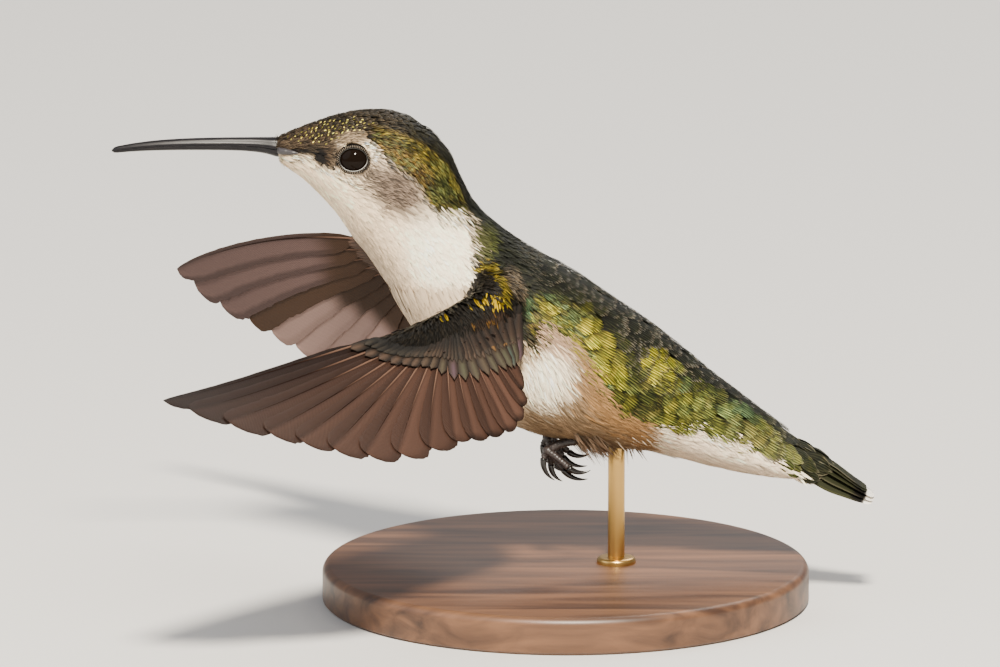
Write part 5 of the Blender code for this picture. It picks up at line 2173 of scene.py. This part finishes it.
def toe_path(foot, side, splay, heading, turn, length):
    """Joints of a toe, and a finer line through them."""
    joints = curl(foot + np.array((0.0, -side * splay * 0.35, 0.0)), heading, turn, length, BONES)
    joints[:, 1] += -side * splay * 0.65 * np.arange(BONES + 1) / BONES
    places = np.linspace(0, BONES, TOE_STEPS + 1)
    fine = np.stack([np.interp(places, np.arange(BONES + 1), axis) for axis in joints.T], 1)
    return joints, fine


def claw_mesh(joints, heading, turn, length):
    """A hook that starts inside the end of its toe."""
    root = joints[-1] - unit(joints[-1] - joints[-2]) * 0.12
    t = np.linspace(0.0, 1.0, 19)
    radii = 0.37 * (1.0 - 0.93 * t ** 1.5) * np.sqrt(np.clip(t / 0.06, 0.2, 1.0))
    return rod("hook", curl(root, heading, turn, length + 0.2, 18), radii)


def make_foot(label, side):
    knee, ankle, foot = (np.array((x, side * LEG_Y, z)) for x, z in (KNEE, ANKLE, FOOT))
    add_piece("tarsus_" + label, leg_mesh("tarsus_" + label, knee, ankle, foot),
              foot_finish, ("leg_" + label,))
    solids = [foot_pad(foot)]
    for number, (splay, heading, turn, length, *claw) in enumerate(TOES, 1):
        joints, fine = toe_path(foot, side, splay, heading, turn, length)
        solids.append(rod("toe", fine, scutes(TOE_STEPS, length, 0.42, 0.15)))
        name = label + "_" + str(number)
        add_piece("hook_" + name, claw_mesh(joints, *claw), claw_finish,
                  ("claw_" + name,))
    add_piece("toes_" + label, join_meshes("toes_" + label, solids), foot_finish,
              ("foot_" + label,))
    print(label, "foot with", len(TOES), "toes")


foot_finish = foot_skin()
claw_finish = plain_material("claw_horn", srgb(18, 15, 13), 0.22)
for label, side in SIDES:
    make_foot(label, side)

# %% [markdown]
# The stand is a turned walnut disc and a brass rod. It is plain, so that the bird is what one
# looks at. A lathe makes such shapes by turning one outline, and so does the spin operator.

# %% Stand
BASE_RADIUS = 26.0
BASE_HEIGHT = 4.0
BASE_ROUND = 0.9
ROD_X = 5.4
ROD_RADIUS = 0.9


def turned(name, profile, centre_x, sides):
    """Spin an open profile of (radius, height) round an upright axis."""
    bm = bmesh.new()
    spots = [bm.verts.new((r * MM, 0.0, z * MM)) for r, z in profile]
    edges = [bm.edges.new(pair) for pair in zip(spots, spots[1:])]
    bmesh.ops.spin(bm, geom=spots + edges, axis=(0.0, 0.0, 1.0), cent=(0.0, 0.0, 0.0),
                   steps=sides, angle=2.0 * math.pi, use_merge=True)
    weld(bm)
    bmesh.ops.recalc_face_normals(bm, faces=bm.faces)
    bmesh.ops.translate(bm, verts=bm.verts, vec=(centre_x * MM, 0.0, 0.0))
    mesh = finished(bm, name)
    mesh.set_sharp_from_angle(angle=math.radians(35.0))
    return mesh


def quarter_round(centre_r, centre_z, radius, steps):
    """Points of a quarter-round moulding, from its outer side up to its top."""
    angles = [math.radians(90.0 * i / steps) for i in range(steps + 1)]
    return [(centre_r + radius * math.cos(a), centre_z + radius * math.sin(a)) for a in angles]


rod_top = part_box("stand_rod")[1].z / MM
base_profile = [(0.0, 0.0), (BASE_RADIUS - 0.3, 0.0), (BASE_RADIUS, 0.3)]
base_profile += quarter_round(BASE_RADIUS - BASE_ROUND, BASE_HEIGHT - BASE_ROUND, BASE_ROUND, 8)
base_profile += [(0.0, BASE_HEIGHT)]
rod_profile = [(0.0, BASE_HEIGHT - 0.5), (ROD_RADIUS, BASE_HEIGHT - 0.5), (ROD_RADIUS, rod_top),
               (0.0, rod_top)]
collar_profile = [(ROD_RADIUS, BASE_HEIGHT), (2.1, BASE_HEIGHT)]
collar_profile += quarter_round(1.7, BASE_HEIGHT + 0.25, 0.4, 6)
collar_profile += [(ROD_RADIUS, BASE_HEIGHT + 0.65)]
wood = grained_material(
    "walnut", 0.42, 0.5, (40.0, 420.0, 420.0), (0.32, srgb(58, 38, 26), 0.68, srgb(112, 78, 54)),
    0.15, 0.00005, Scale=1.0, Detail=6.0, Distortion=0.6)
brass = plain_material("brass", srgb(196, 158, 92), 0.3, 1.0)
add_piece("stand_disc", turned("disc", base_profile, 0.0, 128), wood, ("stand_base",))
add_piece("stand_post", turned("rod", rod_profile, ROD_X, 40), brass, ("stand_rod",))
add_piece("stand_collar", turned("collar", collar_profile, ROD_X, 40), brass)
print("stand", 2 * BASE_RADIUS, "mm wide, rod up to", round(rod_top, 2))
